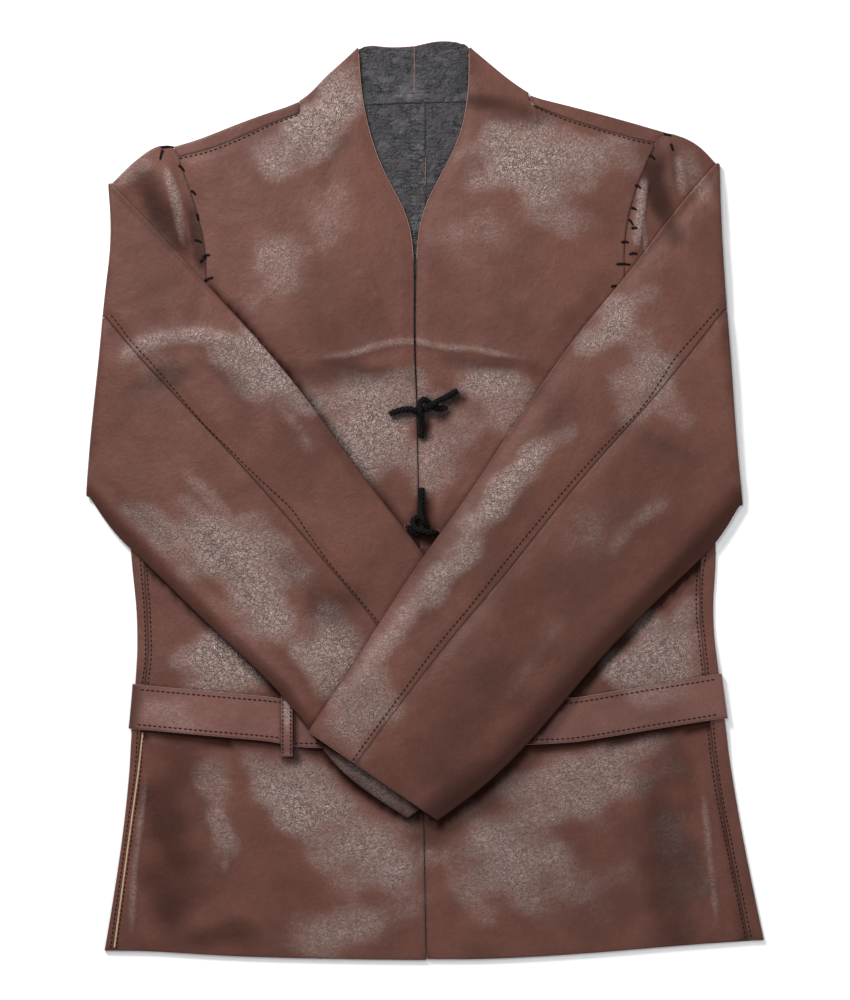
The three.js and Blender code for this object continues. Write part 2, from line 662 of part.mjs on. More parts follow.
function frontPanel(half) {
  const sign = SIGN[half];
  const seamX = (y) => lookUp(SIDE[half], y, 'y', 'seam') - (sign * SEAM_GAP) / 2;
  const hem = HEM[half].map((p) => ({ ...p }));
  hem[0].x = frontEdgeX(half, hem[0].y);
  hem[hem.length - 1].x = seamX(hem[hem.length - 1].y);
  const edge = hem[hem.length - 1].x;
  const upStops = [...ARMHOLE_STOPS].reverse().slice(1);
  const shoulderOut = planNormal(half, 'foldX', 'foldY', SHOULDER);
  const collarOut = planNormal(half, 'foldX', 'foldY', COLLAR);
  const gap = SEAM_GAP / 2;

  const collar = evenly(curveOf([...COLLAR[half]].reverse(), 'foldX', 'foldY'), 5).map(([x, y]) => [
    x - collarOut[0] * FOLD_INSET, y - collarOut[1] * FOLD_INSET,
  ]);
  const seam = evenly(curveOf(SHOULDER[half], 'seamX', 'seamY'), 5).map(([x, y]) => [
    x - shoulderOut[0] * gap, y - shoulderOut[1] * gap,
  ]);
  const neckEnd = SHOULDER[half][0];
  seam[0][0] -= sign * (Math.abs(neckEnd.foldX - neckEnd.seamX) + NECK_NOTCH);
  const top = [...collar, ...seam];

  const bottom = sampleLike(curveOf(hem), top);
  const lowRows = [hem[0].y, ...ROW_HEIGHTS.map((row) => rowHeight(row, 0))];
  const lowOuter = [hem[hem.length - 1].y, ...ROW_HEIGHTS.map((row) => rowHeight(row, edge))];
  const inner = [
    ...lowRows.map((y) => [frontEdgeX(half, y), y]),
    ...evenly(curveOf(FRONT_EDGE[half]), upStops.length).slice(1),
  ];
  const outer = [
    ...lowOuter.map((y) => [seamX(y), y]),
    ...upStops.map((w) => {
      const [x, y] = armhole(half, w);
      return [x - sign * gap, y];
    }),
  ];
  inner[inner.length - 1] = top[0];
  outer[outer.length - 1] = top[top.length - 1];

  const plan = followBelt(fillPanel(bottom, top, inner, outer));
  const grid = plan.map((row) => row.map((p) => liftTo(p, frontMiddle)));

  // The collar turns under at the side of the neck and meets the back of the collar.
  const wrapRows = Array.from({ length: TURN_STEPS + LAP_STEPS }, () => Array(top.length).fill(null));
  const join = evenly(curveOf([...COLLAR[half]].reverse(), 'joinX', 'joinY'), 5);
  const topRow = grid[grid.length - 1];
  collar.forEach((_, i) => {
    topRow[i].z = LEATHER / 2 + LAYER;
    const points = turn(topRow[i], collarOut, -LAYER, TURN_STEPS);
    const end = points[points.length - 1];
    points.push(new THREE.Vector3(join[i][0] + sign * gap, join[i][1], end.z));
    points.forEach((p, r) => (wrapRows[r][i] = p));
  });
  grid.push(...wrapRows);
  return wall(grid, LEATHER);
}

// ---------------------------------------------------------------- the back of the collar

const JOIN_STEPS = 5;
const JOIN_CLEAR = 0.1;         // added to the gap where the collar's back meets its turned fronts

function collarBack(half) {
  const sign = SIGN[half];
  const gap = SEAM_GAP / 2;
  const join = evenly(curveOf(COLLAR[half], 'joinX', 'joinY'), JOIN_STEPS)
    .map(([x, y]) => [x - sign * (gap + JOIN_CLEAR), y]);
  const topEdge = COLLAR_TOP[half].map((p) => ({ ...p }));
  topEdge[0].x += sign * gap;
  topEdge.push({ x: join[JOIN_STEPS][0], y: join[JOIN_STEPS][1] });
  const neck = NECK_SEAM[half].map((p) => ({ x: p.x, y: p.y + 2 * SEAM_GAP }));
  neck[0].x += sign * gap;
  neck[neck.length - 1] = { x: join[0][0], y: join[0][1] };
  const bottom = evenly(curveOf(neck), 6);
  const top = evenly(curveOf(topEdge), 6);
  const inner = join.map((_, k) => [
    lerp(bottom[0][0], top[0][0], k / JOIN_STEPS), lerp(bottom[0][1], top[0][1], k / JOIN_STEPS),
  ]);
  join[JOIN_STEPS] = top[top.length - 1];
  const plan = fillPanel(bottom, top, inner, join);
  return wall(plan.map((row) => row.map((p) => liftTo(p, () => LEATHER / 2))), LEATHER);
}

// ---------------------------------------------------------------- sleeves

const SLEEVE_LEVEL = LEATHER / 2 + LAYER / 2;   // the sleeve's middle before its fold
const SLEEVE_TOP_LEVEL = LEATHER + LAYER + SLEEVE_REST + LEATHER / 2 + SLEEVE_LAYER / 2;
const SLEEVE_TURN = (SLEEVE_TOP_LEVEL - SLEEVE_LEVEL) / 2;
const SLEEVE_INSET = SLEEVE_TURN + SLEEVE_LAYER / 2 + LEATHER / 2;
const EDGE_INSET = SLEEVE_LAYER / 2 + LEATHER / 2;
const CROWN_SHARE = 0.4;        // share of the sleeve's width over which its crown dies out
const PUFF_RISE = 0.15;         // share of the sleeve's run over which it fills out after the fold
const FOLD_SETTLE = 0.1;        // and over which it comes to its own outline
const TANGENT_STEP = 0.004;
const TANGENT_EDGE = 0.04;      // directions are taken no nearer to an edge than this share of the width

function sleeveShape(half) {
  const sign = SIGN[half];
  const fold = curveOf(SLEEVE_FOLD[half]);
  const sections = SLEEVE_SECTIONS[half];
  const over = curveOf(sections, 'overX', 'overY');
  const under = curveOf(sections, 'underX', 'underY');
  const foldPoint = (w) => {
    const p = fold.getPointAt(clamp(w, 0, 1));
    return [p.x - sign * SLEEVE_INSET, p.y];
  };
  const length = (t) => over.getPoint(t).distanceTo(under.getPoint(t));
  const within = (w, t) => {
    const inset = EDGE_INSET / length(t);
    return clamp(w, inset, 1 - inset);
  };
  const puff = (w, t) => SLEEVE_PUFF * Math.sin(Math.PI * clamp(w, 0, 1)) * ease(t / PUFF_RISE);

  // The surface midway between the sleeve's two layers. way is 0 to 1 from the armhole to the fold,
  // 1 to 2 round the fold, and 2 to 3 back over the front to the cuff.
  function middle(w, way) {
    if (way <= 1) {
      const v = clamp(w, SLEEVE_CAP_INSET, 1 - SLEEVE_PIT_INSET);
      const [ax, ay] = armhole(half, v);
      const [fx, fy] = foldPoint(within(w, 0));
      const crown = lookUp(SLEEVE_CROWN[half], way, 'way', 'rise') * (1 - ease(w / CROWN_SHARE));
      const x = lerp(ax + (sign * SEAM_GAP) / 2, fx, way);
      return new THREE.Vector3(x, lerp(ay, fy, way) + crown, SLEEVE_LEVEL);
    }
    const [fx, fy] = foldPoint(within(w, 0));
    if (way <= 2) {
      const angle = Math.PI * (way - 1);
      const x = fx + sign * SLEEVE_TURN * Math.sin(angle);
      return new THREE.Vector3(x, fy, SLEEVE_LEVEL + SLEEVE_TURN * (1 - Math.cos(angle)));
    }
    const t = way - 2;
    const v = within(w, t);
    const p = over.getPoint(t).lerp(under.getPoint(t), v);
    const start = over.getPoint(0).lerp(under.getPoint(0), v);
    const settle = 1 - ease(t / FOLD_SETTLE);
    p.x += (fx - start.x) * settle;
    p.y += (fy - start.y) * settle;
    p.z = sleeveFloor(half, p.x, p.y) + SLEEVE_REST + LEATHER / 2 + (SLEEVE_LAYER + puff(w, t)) / 2;
    return p;
  }

  // A point on the ring round the middle surface. side is 1 on the layer that ends up on top and -1 on
  // the one that ends up below; angle turns from the first to the second round an edge.
  function ring(w, way, angle) {
    const safe = clamp(w, TANGENT_EDGE, 1 - TANGENT_EDGE);
    const along = middle(safe + TANGENT_STEP, way).sub(middle(safe - TANGENT_STEP, way)).normalize();
    const [a, b] = [Math.max(way - TANGENT_STEP, 0), Math.min(way + TANGENT_STEP, 3)];
    const onward = middle(safe, b).sub(middle(safe, a));
    const up = along.clone().cross(onward).multiplyScalar(-sign).normalize();
    const t = clamp(way - 2, 0, 1);
    const wide = lerp(LAYER, SLEEVE_LAYER, clamp(way - 1, 0, 1)) + (way > 2 ? puff(w, t) : 0);
    const point = middle(w, way);
    const edge = w < 0.5 ? -1 : 1;
    point.addScaledVector(up, (wide / 2) * Math.cos(angle));
    point.addScaledVector(along, (wide / 2) * Math.sin(angle) * edge);
    if (angle === 0 && way > 2) {
      point.z += foldHeight(SLEEVE_FOLDS[half], point.x, point.y) * ease(t / FOLD_SETTLE);
    }
    return point;
  }

  const seamShare = (way) => {
    const at = clamp(way - 2, 0, 1) * (sections.length - 1);
    const k = Math.min(Math.floor(at), sections.length - 2);
    return lerp(sections[k].seam, sections[k + 1].seam, at - k);
  };
  return { ring, seamShare };
}

const SEAM_SHARE = 0.0011;      // half of SEAM_GAP as a share of the sleeve's narrowest section
const TO_FOLD = [0, 0.04, 0.12, 0.28, 0.5, 0.75, 1];
const ROUND_FOLD = [1 / 6, 2 / 6, 3 / 6, 4 / 6, 5 / 6, 1];
const OVER_FRONT = 17;

function sleevePanel(half, part) {
  const { ring, seamShare } = sleeveShape(half);
  const ways = [
    ...TO_FOLD,
    ...ROUND_FOLD.map((t) => 1 + t),
    ...Array.from({ length: OVER_FRONT }, (_, k) => 2 + (k + 1) / OVER_FRONT),
  ];
  const start = ARMHOLE_STOPS[ELBOW_SEAM_STOP];
  const turnAngles = [Math.PI / 4, Math.PI / 2, (3 * Math.PI) / 4];
    const grid = ways.map((way) => {
    const seam = seamShare(way);
    if (part === 'top') {
      const upper = ARMHOLE_STOPS.slice(0, ELBOW_SEAM_STOP + 1).reverse();
      const lower = ARMHOLE_STOPS.slice(0, UNDERARM_SEAM_STOP + 1);
      return [
        ...upper.map((w, k) => ring((w * seam) / start - (k === 0 ? SEAM_SHARE : 0), way, 0)),
        ...turnAngles.map((angle) => ring(0, way, angle)),
        ...lower.map((w, k) => ring(w - (k === lower.length - 1 ? SEAM_SHARE : 0), way, Math.PI)),
      ];
    }
    const upper = ARMHOLE_STOPS.slice(ELBOW_SEAM_STOP);
    const lower = ARMHOLE_STOPS.slice(UNDERARM_SEAM_STOP).reverse();
    return [
      ...upper.map((w, k) => {
        const share = 1 - ((1 - w) * (1 - seam)) / (1 - start);
        return ring(share + (k === 0 ? SEAM_SHARE : 0), way, 0);
      }),
      ...turnAngles.map((angle) => ring(1, way, angle)),
      ...lower.map((w, k) => ring(w + (k === lower.length - 1 ? SEAM_SHARE : 0), way, Math.PI)),
    ];
  });
  return wall(grid, LEATHER);
}

// ---------------------------------------------------------------- belt and its loop

const BELT_STEPS = { right: 14, back: 8, left: 18 };

function belt() {
  const across = [-0.5, 0, 0.5];
  const sideStation = (half, k) => ({ half, angle: (Math.PI * k) / 6 });
  const run = (from, to, count) =>
    Array.from({ length: count + 1 }, (_, k) => lerp(from, to, k / count));
  const { right, left } = BELT_SIDE;
  const frontRight = run(BELT_END_BELOW, right.flatX, BELT_STEPS.right).map((x) => ({ x, level: 'low' }));
  const underneath = run(right.flatX, left.flatX, BELT_STEPS.back).map((x) => ({ x, level: 'floor' }));
  const frontLeft = run(left.flatX, BELT_END_ON_TOP, BELT_STEPS.left).map((x) => ({ x, level: 'top' }));
  const stations = [
    ...frontRight,
    ...[1, 2, 3, 4, 5].map((k) => sideStation('right', k)),
    ...underneath,
    ...[5, 4, 3, 2, 1].map((k) => sideStation('left', k)),
    ...frontLeft,
  ];
  const floorLevel = BELT_THICKNESS / 2;
  const grid = stations.map((s) => across.map((c) => {
    const x = s.x ?? BELT_SIDE[s.half].x;
    const y = beltY(x) + c * BELT_WIDTH;
    if (s.level === 'floor') return new THREE.Vector3(x, y, floorLevel);
    const top = beltMiddle(x, y);
    if (s.level) {
      return new THREE.Vector3(x, y, top + (s.level === 'top' ? BELT_LIFT * beltOverlap(x) : 0));
    }
    const radius = (top - floorLevel) / 2;
    const out = lookUp(SIDE[s.half], y, 'y', 'fold') + SIGN[s.half] * (BELT_SIDE_CLEAR + BELT_THICKNESS / 2);
    const start = out - SIGN[s.half] * BELT_TURN;
    const [sine, cosine] = [Math.sin(s.angle), Math.cos(s.angle)];
    return new THREE.Vector3(
      start + SIGN[s.half] * BELT_TURN * sine ** 0.5,
      y,
      floorLevel + radius * (1 + Math.sign(cosine) * Math.abs(cosine) ** 0.5),
    );
  }));
  return wall(grid, BELT_THICKNESS);
}

function beltLoop() {
  const half = LOOP.width / 2;
  const bottomEdge = beltY(LOOP.x) - BELT_WIDTH / 2;
  const topEdge = beltY(LOOP.x) + BELT_WIDTH / 2;
  const onFront = (y) => plainFront(LOOP.x, y) + LEATHER + BELT_CLEAR;
  const onBelt = (y) => beltMiddle(LOOP.x, y) + BELT_THICKNESS / 2 + BELT_CLEAR + LEATHER / 2;
  const line = [
    [LOOP.bottom, onFront],
    [bottomEdge - LOOP.ramp - LOOP.clear, onFront],
    [bottomEdge - LOOP.clear, onBelt],
    [lerp(bottomEdge, topEdge, 0.33), onBelt],
    [lerp(bottomEdge, topEdge, 0.67), onBelt],
    [topEdge + LOOP.clear, onBelt],
    [topEdge + LOOP.ramp + LOOP.clear, onFront],
    [Math.max(LOOP.top, topEdge + LOOP.ramp + LOOP.foot), onFront],
  ];
  const sides = [LOOP.x - half, LOOP.x + half];
  const grid = line.map(([y, height]) => sides.map((x) => new THREE.Vector3(x, y, height(y))));
  return wall(grid, LEATHER);
}

// ---------------------------------------------------------------- ties

function tie(route) {
  const points = route.map((p) => new THREE.Vector3(p.x, p.y, frontTop(p.x, p.y) + p.h));
  const path = new THREE.CatmullRomCurve3(points, false, 'centripetal');
  const section = new THREE.Shape();
  for (let k = 0; k < CORD_SIDES; k++) {
    const angle = (2 * Math.PI * k) / CORD_SIDES;
    const [x, y] = [(CORD_DIAMETER / 2) * Math.cos(angle), (CORD_DIAMETER / 2) * Math.sin(angle)];
    if (k === 0) section.moveTo(x, y);
    else section.lineTo(x, y);
  }
  section.closePath();
  return new THREE.ExtrudeGeometry(section, { steps: CORD_STEPS, extrudePath: path, curveSegments: 1 });
}

// ---------------------------------------------------------------- the jacket

for (const half of ['right', 'left']) {
  addPiece(`back_${half}`, backPanel(half), BROWN);
  addPiece(`front_${half}`, frontPanel(half), BROWN);
  addPiece(`collar_back_${half}`, collarBack(half), CHARCOAL, 0.8);
  addPiece(`sleeve_${half}_top`, sleevePanel(half, 'top'), BROWN);
  addPiece(`sleeve_${half}_under`, sleevePanel(half, 'under'), BROWN);
}
addPiece('belt', belt(), BROWN);
addPiece('belt_loop', beltLoop(), BROWN);
for (const [name, route] of Object.entries(TIES)) {
  addPiece(name, tie(route), BLACK, 0.7);
}

// The origin is the middle of the jacket's lowest plane.
const box = new THREE.Box3().setFromObject(jacket);
jacket.position.set(-(box.min.x + box.max.x) / 2, -(box.min.y + box.max.y) / 2, -box.min.z);

const part = new THREE.Group();
part.add(jacket);

export default part;
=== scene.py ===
"""Looks for a belted leather jacket that lies flat on its back, its sleeves folded over its fronts.

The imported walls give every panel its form. Here each one is made finer, creased and finished, and the
sewing is laid on it. Tables are in millimetres on the cutting plan: +X towards the wearer's left, +Y
towards the collar, with the plan's own origin, which plan_shift() finds in the frame."""

import math
from collections import namedtuple

import bmesh
import bpy
import numpy as np
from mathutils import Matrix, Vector
from mathutils.bvhtree import BVHTree
from mathutils.kdtree import KDTree


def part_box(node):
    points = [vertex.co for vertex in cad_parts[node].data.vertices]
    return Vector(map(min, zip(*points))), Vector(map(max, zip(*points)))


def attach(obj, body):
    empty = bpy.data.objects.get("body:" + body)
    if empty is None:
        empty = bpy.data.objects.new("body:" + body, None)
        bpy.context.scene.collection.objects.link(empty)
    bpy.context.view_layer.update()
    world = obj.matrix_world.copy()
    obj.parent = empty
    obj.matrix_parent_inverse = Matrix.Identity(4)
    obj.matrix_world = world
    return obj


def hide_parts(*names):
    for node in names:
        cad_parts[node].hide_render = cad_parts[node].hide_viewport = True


MM = 0.001

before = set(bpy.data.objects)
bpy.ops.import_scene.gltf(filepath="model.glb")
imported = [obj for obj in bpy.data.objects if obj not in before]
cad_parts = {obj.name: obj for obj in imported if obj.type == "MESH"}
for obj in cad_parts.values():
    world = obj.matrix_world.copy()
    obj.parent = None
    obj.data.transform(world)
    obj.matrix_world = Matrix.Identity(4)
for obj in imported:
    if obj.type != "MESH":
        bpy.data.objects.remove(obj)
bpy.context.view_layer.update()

# ---------------------------------------------------------------- sizes

LEATHER = 1.4
SEAM_GAP = 0.3
COLLAR_SEAM_X = -9.0        # the collar's centre seam and the hem at the centre, on the plan
HEM_Y = -422.0

WELD = 0.02                 # corners nearer than this are one
SHARP = math.radians(62)    # a wall's faces turn by more than this only at its cut edges
CORNER = math.radians(32)   # a cut edge that turns by more than this keeps its corner
SEAM_REACH = 0.8            # a cut edge with another piece nearer than this is sewn to it
RAW_BEVEL = 0.4             # how far a raw edge is rounded over
SEAM_BEVEL = 0.35           # and a sewn one
FINEST = 1.2                # edges shorter than this aren't halved again

OUTSIDE, INSIDE, RAW_EDGE, SEWN_EDGE = range(4)
HALVES = ("right", "left")


def table(columns, rows):
    """Rows with named columns."""
    row = namedtuple("Row", columns)
    return [row(*r) for r in rows]


def by_piece(columns, tables):
    """A table for each piece, with the same columns."""
    return {piece: table(columns, rows) for piece, rows in tables.items()}


def plan_shift():
    """From the plan's origin to the frame's, in millimetres."""
    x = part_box("collar_back_left")[0].x / MM - (COLLAR_SEAM_X + SEAM_GAP / 2)
    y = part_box("back_right")[0].y / MM - HEM_Y
    return np.array([x, y, 0.0])


SHIFT = plan_shift()


def to_frame(points):
    """Plan millimetres to the frame's metres."""
    return (np.asarray(points, float) + SHIFT) * MM


def unit(v):
    return v / max(np.linalg.norm(v), 1e-9)


def ease(t):
    t = np.clip(t, 0.0, 1.0)
    return t * t * (3 - 2 * t)


def object_of(name, data):
    obj = bpy.data.objects.new(name, data)
    bpy.context.scene.collection.objects.link(obj)
    return obj


def point_tree(points, keys):
    """A tree of points that answers with their keys."""
    tree = KDTree(len(points))
    for point, key in zip(points, keys):
        tree.insert(point, key)
    tree.balance()
    return tree


# ---------------------------------------------------------------- camera, light and floor

VIEW_HEIGHT = 920.0         # millimetres that the picture is high
CAMERA_DISTANCE = 3.0
SENSOR = 36.0
VIEW_CENTRE = (0.9, 0.9)    # on the plan


def make_camera():
    data = bpy.data.cameras.new("camera")
    data.sensor_width = SENSOR
    data.lens = SENSOR * CAMERA_DISTANCE / (VIEW_HEIGHT * MM)
    camera = object_of("camera", data)
    x, y, _ = to_frame([*VIEW_CENTRE, 0])
    camera.location = (x, y, CAMERA_DISTANCE)
    bpy.context.scene.camera = camera


LIGHTS = table("name x y z size power", [
    ("key", -1.0, 1.5, 1.35, 0.6, 54),
    ("sheen", -0.55, 0.75, 2.7, 0.45, 17),
    ("side", 1.5, 0.5, 1.5, 0.9, 9),
    ("front", 0.2, -1.7, 1.7, 1.6, 8),
])
SKY = (0.95, 0.97, 1.0)
SKY_STRENGTH = 0.34


def make_lights():
    for light in LIGHTS:
        data = bpy.data.lights.new(light.name, "AREA")
        data.shape = "DISK"
        data.size = light.size
        data.energy = light.power
        lamp = object_of(light.name, data)
        lamp.location = (light.x, light.y, light.z)
        lamp.rotation_euler = (-lamp.location).to_track_quat("-Z", "Y").to_euler()
    world = bpy.data.worlds.new("studio")
    world.use_nodes = True
    background = world.node_tree.nodes["Background"]
    background.inputs["Color"].default_value = (*SKY, 1)
    background.inputs["Strength"].default_value = SKY_STRENGTH
    bpy.context.scene.world = world


FLOOR_HALF = 6.0
FLOOR_TONE = (0.93, 0.93, 0.93)
FLOOR_ROUGHNESS = 0.85


def make_floor():
    mesh = bpy.data.meshes.new("floor")
    corners = [(x * FLOOR_HALF, y * FLOOR_HALF, 0) for x, y in ((-1, -1), (1, -1), (1, 1), (-1, 1))]
    mesh.from_pydata(corners, [], [(0, 1, 2, 3)])
    floor = object_of("floor", mesh)
    material, nodes, surface = new_material("floor")
    nodes.put(surface["Base Color"], FLOOR_TONE)
    nodes.put(surface["Roughness"], FLOOR_ROUGHNESS)
    mesh.materials.append(material)


# ---------------------------------------------------------------- node helpers


def srgb(r, g, b):
    """A colour from its 0 to 255 screen values."""
    def linear(c):
        c /= 255
        return c / 12.92 if c <= 0.04045 else ((c + 0.055) / 1.055) ** 2.4

    return (linear(r), linear(g), linear(b))


class Nodes:
    """Short ways to add and link the nodes of one tree. Sizes are in millimetres."""

    def __init__(self, tree):
        self.tree = tree

    def put(self, socket, value):
        """Links a socket to another, or sets its value."""
        if isinstance(value, bpy.types.NodeSocket):
            self.tree.links.new(value, socket)
        elif isinstance(value, tuple) and len(value) == 3 and socket.type == "RGBA":
            socket.default_value = (*value, 1)
        else:
            socket.default_value = value

    def add(self, kind, inputs=None, **settings):
        """A new node, with its inputs linked or set by name or number. Gives its outputs."""
        node = self.tree.nodes.new(kind)
        for name, value in settings.items():
            setattr(node, name, value)
        for key, value in (inputs or {}).items():
            self.put(node.inputs[key], value)
        return node.outputs

    def math(self, operation, a, b=0.0, clamp=False):
        return self.add("ShaderNodeMath", {0: a, 1: b}, operation=operation, use_clamp=clamp)[0]

    def vector(self, operation, a, b):
        return self.add("ShaderNodeVectorMath", {0: a, 1: b}, operation=operation)[0]

    def total(self, *terms):
        """The sum of values, each given with its share."""
        terms = [self.math("MULTIPLY", value, share) for value, share in terms]
        result = terms[0]
        for term in terms[1:]:
            result = self.math("ADD", result, term)
        return result

    def mix(self, share, a, b):
        return self.add("ShaderNodeMix", {"Factor": share, 6: a, 7: b}, data_type="RGBA")[2]

    def tint(self, colour, mask, share, other):
        """The colour, turned to another by share where the mask is 1."""
        return self.mix(self.math("MULTIPLY", mask, share), colour, other)

    def span(self, value, low, high, to_low=0.0, to_high=1.0):
        """value from low..high to to_low..to_high, held at both ends."""
        inputs = {"Value": value, "From Min": low, "From Max": high, "To Min": to_low, "To Max": to_high}
        return self.add("ShaderNodeMapRange", inputs, interpolation_type="SMOOTHSTEP")["Result"]

    def noise(self, place, size, detail=2.0, rough=0.5):
        """Soft noise with features of about size."""
        inputs = {"Vector": place, "Scale": 1 / (size * MM), "Detail": detail, "Roughness": rough}
        return self.add("ShaderNodeTexNoise", inputs)["Fac"]

    def pebbles(self, place, size):
        """Rounded lumps about size apart, from 0 at their middles."""
        inputs = {"Vector": place, "Scale": 1 / (size * MM)}
        return self.add("ShaderNodeTexVoronoi", inputs, feature="F1")["Distance"]

    def worms(self, place, size, width):
        """1 along thin winding lines, and 0 beyond width (in units of the noise) from them."""
        away = self.math("ABSOLUTE", self.math("SUBTRACT", self.noise(place, size), 0.5))
        return self.span(away, 0.0, width, 1, 0)

    def warp(self, place, size, amount):
        """The place, pushed about by up to amount by noise."""
        noise = self.add("ShaderNodeTexNoise", {"Vector": place, "Scale": 1 / (size * MM)})["Color"]
        push = {0: self.vector("SUBTRACT", noise, (0.5, 0.5, 0.5)), "Scale": 2 * amount * MM}
        return self.vector("ADD", place, self.add("ShaderNodeVectorMath", push, operation="SCALE")[0])

    def attribute(self, name):
        return self.add("ShaderNodeAttribute", attribute_name=name)["Fac"]

    def place(self):
        return self.add("ShaderNodeTexCoord")["Object"]


def node_group(name, inputs, outputs, build):
    """A shader group of numbers, where an input with no default is a place. build(nodes, inputs) gives
    the output sockets in order."""
    group = bpy.data.node_groups.new(name, "ShaderNodeTree")
    for label, default in inputs.items():
        kind = "NodeSocketVector" if default is None else "NodeSocketFloat"
        socket = group.interface.new_socket(label, in_out="INPUT", socket_type=kind)
        if default is not None:
            socket.default_value = default
    for label in outputs:
        group.interface.new_socket(label, in_out="OUTPUT", socket_type="NodeSocketFloat")
    nodes = Nodes(group)
    results = build(nodes, nodes.add("NodeGroupInput"))
    nodes.add("NodeGroupOutput", dict(zip(outputs, results)))
    return group


def use_group(nodes, group, **values):
    return nodes.add("ShaderNodeGroup", values, node_tree=group)


def build_grain(n, given):
    """Fine pebbled grain, with winding crinkles where Crinkle is 1, and the lines between them, which are
    painted dark as shade.
    Heights are in millimetres."""
    place, crinkle = given["Place"], given["Crinkle"]
    pores = n.span(n.pebbles(n.warp(place, 3, 0.4), 1.1), 0.05, 0.65, 1, 0)
    fine = n.noise(place, 0.5, 2)
    slack = n.noise(n.warp(place, 26, 12), 13, 4, 0.62)
    plain = n.total((pores, 0.03), (fine, 0.03), (slack, 0.9))
    wide = n.worms(n.warp(place, 12, 6), 7.5, 0.05)
    small = n.worms(n.warp(place, 5, 3), 3.4, 0.07)
    lumps = n.noise(n.warp(place, 9, 5), 3.4, 4, 0.7)
    net = n.total((wide, -0.5), (small, -0.3), (lumps, 1.5))
    height = n.math("ADD", plain, n.math("MULTIPLY", net, n.math("MULTIPLY", crinkle, given["Depth"])))
    cracks = n.math("MAXIMUM", wide, n.math("MULTIPLY", small, 0.7))
    return [height, n.math("MULTIPLY", cracks, crinkle)]


def build_breakup(n, given):
    """A soft mask with its edges a little broken up."""
    place, mask, amount = given["Place"], given["Mask"], given["Amount"]
    coarse = n.noise(n.warp(place, 36, 22), 24, 5, 0.66)
    fine = n.noise(n.warp(place, 9, 5), 6, 4, 0.7)
    both = n.total((coarse, 0.75), (fine, 0.25))
    shifted = n.math("ADD", mask, n.math("MULTIPLY", n.math("SUBTRACT", both, 0.5), amount))
    return [n.math("MULTIPLY", n.span(shifted, 0.0, 1.05), n.span(mask, 0.0, 0.35))]


def build_burnish(n, given):
    """Dark rubbed-in dye and paler rubbed places, from 0 to 1, and fine flecks."""
    place = given["Place"]
    broad = n.noise(n.warp(place, 180, 90), 140, 2, 0.5)
    drifts = n.noise(n.warp(place, 70, 40), 58, 3, 0.55)
    clouds = n.noise(n.warp(place, 24, 14), 15, 5, 0.7)
    flecks = n.noise(n.warp(place, 5, 2), 2.2, 4, 0.75)
    tone = n.total((broad, 0.4), (drifts, 0.38), (clouds, 0.22))
    return [n.span(tone, 0.36, 0.64), n.span(flecks, 0.38, 0.64)]


def build_flesh(n, given):
    """The fuzzy side of the hide: its smudges, its pale places of painted sheen, the short wrinkles that
    run across the body, its fibres, and its relief in millimetres."""
    place = given["Place"]
    across = n.vector("MULTIPLY", place, (0.4, 1, 1))
    smudges = n.span(n.noise(n.warp(place, 30, 16), 17, 5, 0.68), 0.38, 0.62)
    painted_sheen = n.span(n.noise(n.warp(across, 22, 9), 12, 3, 0.6), 0.52, 0.7)
    where = n.span(n.noise(n.warp(place, 16, 8), 11, 3, 0.6), 0.44, 0.6)
    wrinkles = n.math("MULTIPLY", n.worms(n.warp(across, 7, 3.4), 5.5, 0.045), where)
    puckers = n.noise(n.warp(across, 6, 2.5), 2.6, 3, 0.62)
    fibres = n.noise(n.warp(place, 3, 1), 1.0, 3, 0.7)
    height = n.total((wrinkles, -0.6), (puckers, 0.8), (smudges, 0.5), (fibres, 0.12))
    return [smudges, painted_sheen, wrinkles, fibres, height]


def build_specks(n, given):
    """Fine specks, and their relief. Size and depth are in millimetres."""
    scale = n.math("DIVIDE", 1 / MM, given["Size"])
    inputs = {"Vector": given["Place"], "Scale": scale, "Detail": 3, "Roughness": 0.6}
    specks = n.add("ShaderNodeTexNoise", inputs)["Fac"]
    return [n.span(specks, 0.35, 0.7), n.math("MULTIPLY", specks, given["Depth"])]


def make_groups():
    return {
        "grain": node_group("Hide grain", {"Place": None, "Crinkle": 0.0, "Depth": 1.0},
                            ["Height", "Cracks"], build_grain),
        "breakup": node_group("Patch break-up", {"Place": None, "Mask": 0.0, "Amount": 1.0},
                              ["Mask"], build_breakup),
        "burnish": node_group("Burnish", {"Place": None}, ["Tone", "Flecks"], build_burnish),
        "flesh": node_group("Flesh side", {"Place": None},
                            ["Smudges", "PaintedSheen", "Wrinkles", "Fibres", "Height"], build_flesh),
        "specks": node_group("Specks", {"Place": None, "Size": 0.5, "Depth": 0.05},
                             ["Specks", "Height"], build_specks),
    }


def new_material(name):
    """A material, the means to add to its nodes, and its surface's inputs."""
    material = bpy.data.materials.new(name)
    material.use_nodes = True
    return material, Nodes(material.node_tree), material.node_tree.nodes["Principled BSDF"].inputs


def finish_surface(n, surface, colour, roughness, specular, height):
    """Sets what a surface shows. The height of its relief is in millimetres."""
    normal = n.add("ShaderNodeBump", {"Distance": MM, "Height": height})["Normal"]
    looks = {"Base Color": colour, "Roughness": roughness, "Specular IOR Level": specular, "Normal": normal}
    for name, value in looks.items():
        n.put(surface[name], value)


SHADOW = srgb(16, 8, 7)         # what lies in the shadow of the piece above it
CREASE_AND_EDGE_SHADE = srgb(48, 28, 24)       # painted shade at the bottom of a trough and along a cut edge's rim
WRINKLE_SHADE = srgb(14, 12, 13)      # painted shade at the bottom of a wrinkle on the flesh side
# the flesh side's darker places: partly dye, partly painted shade beside the collar and neck
FLESH_DYE_AND_SHADE = srgb(12, 11, 12)
FLESH_SHADOW = srgb(8, 7, 8)


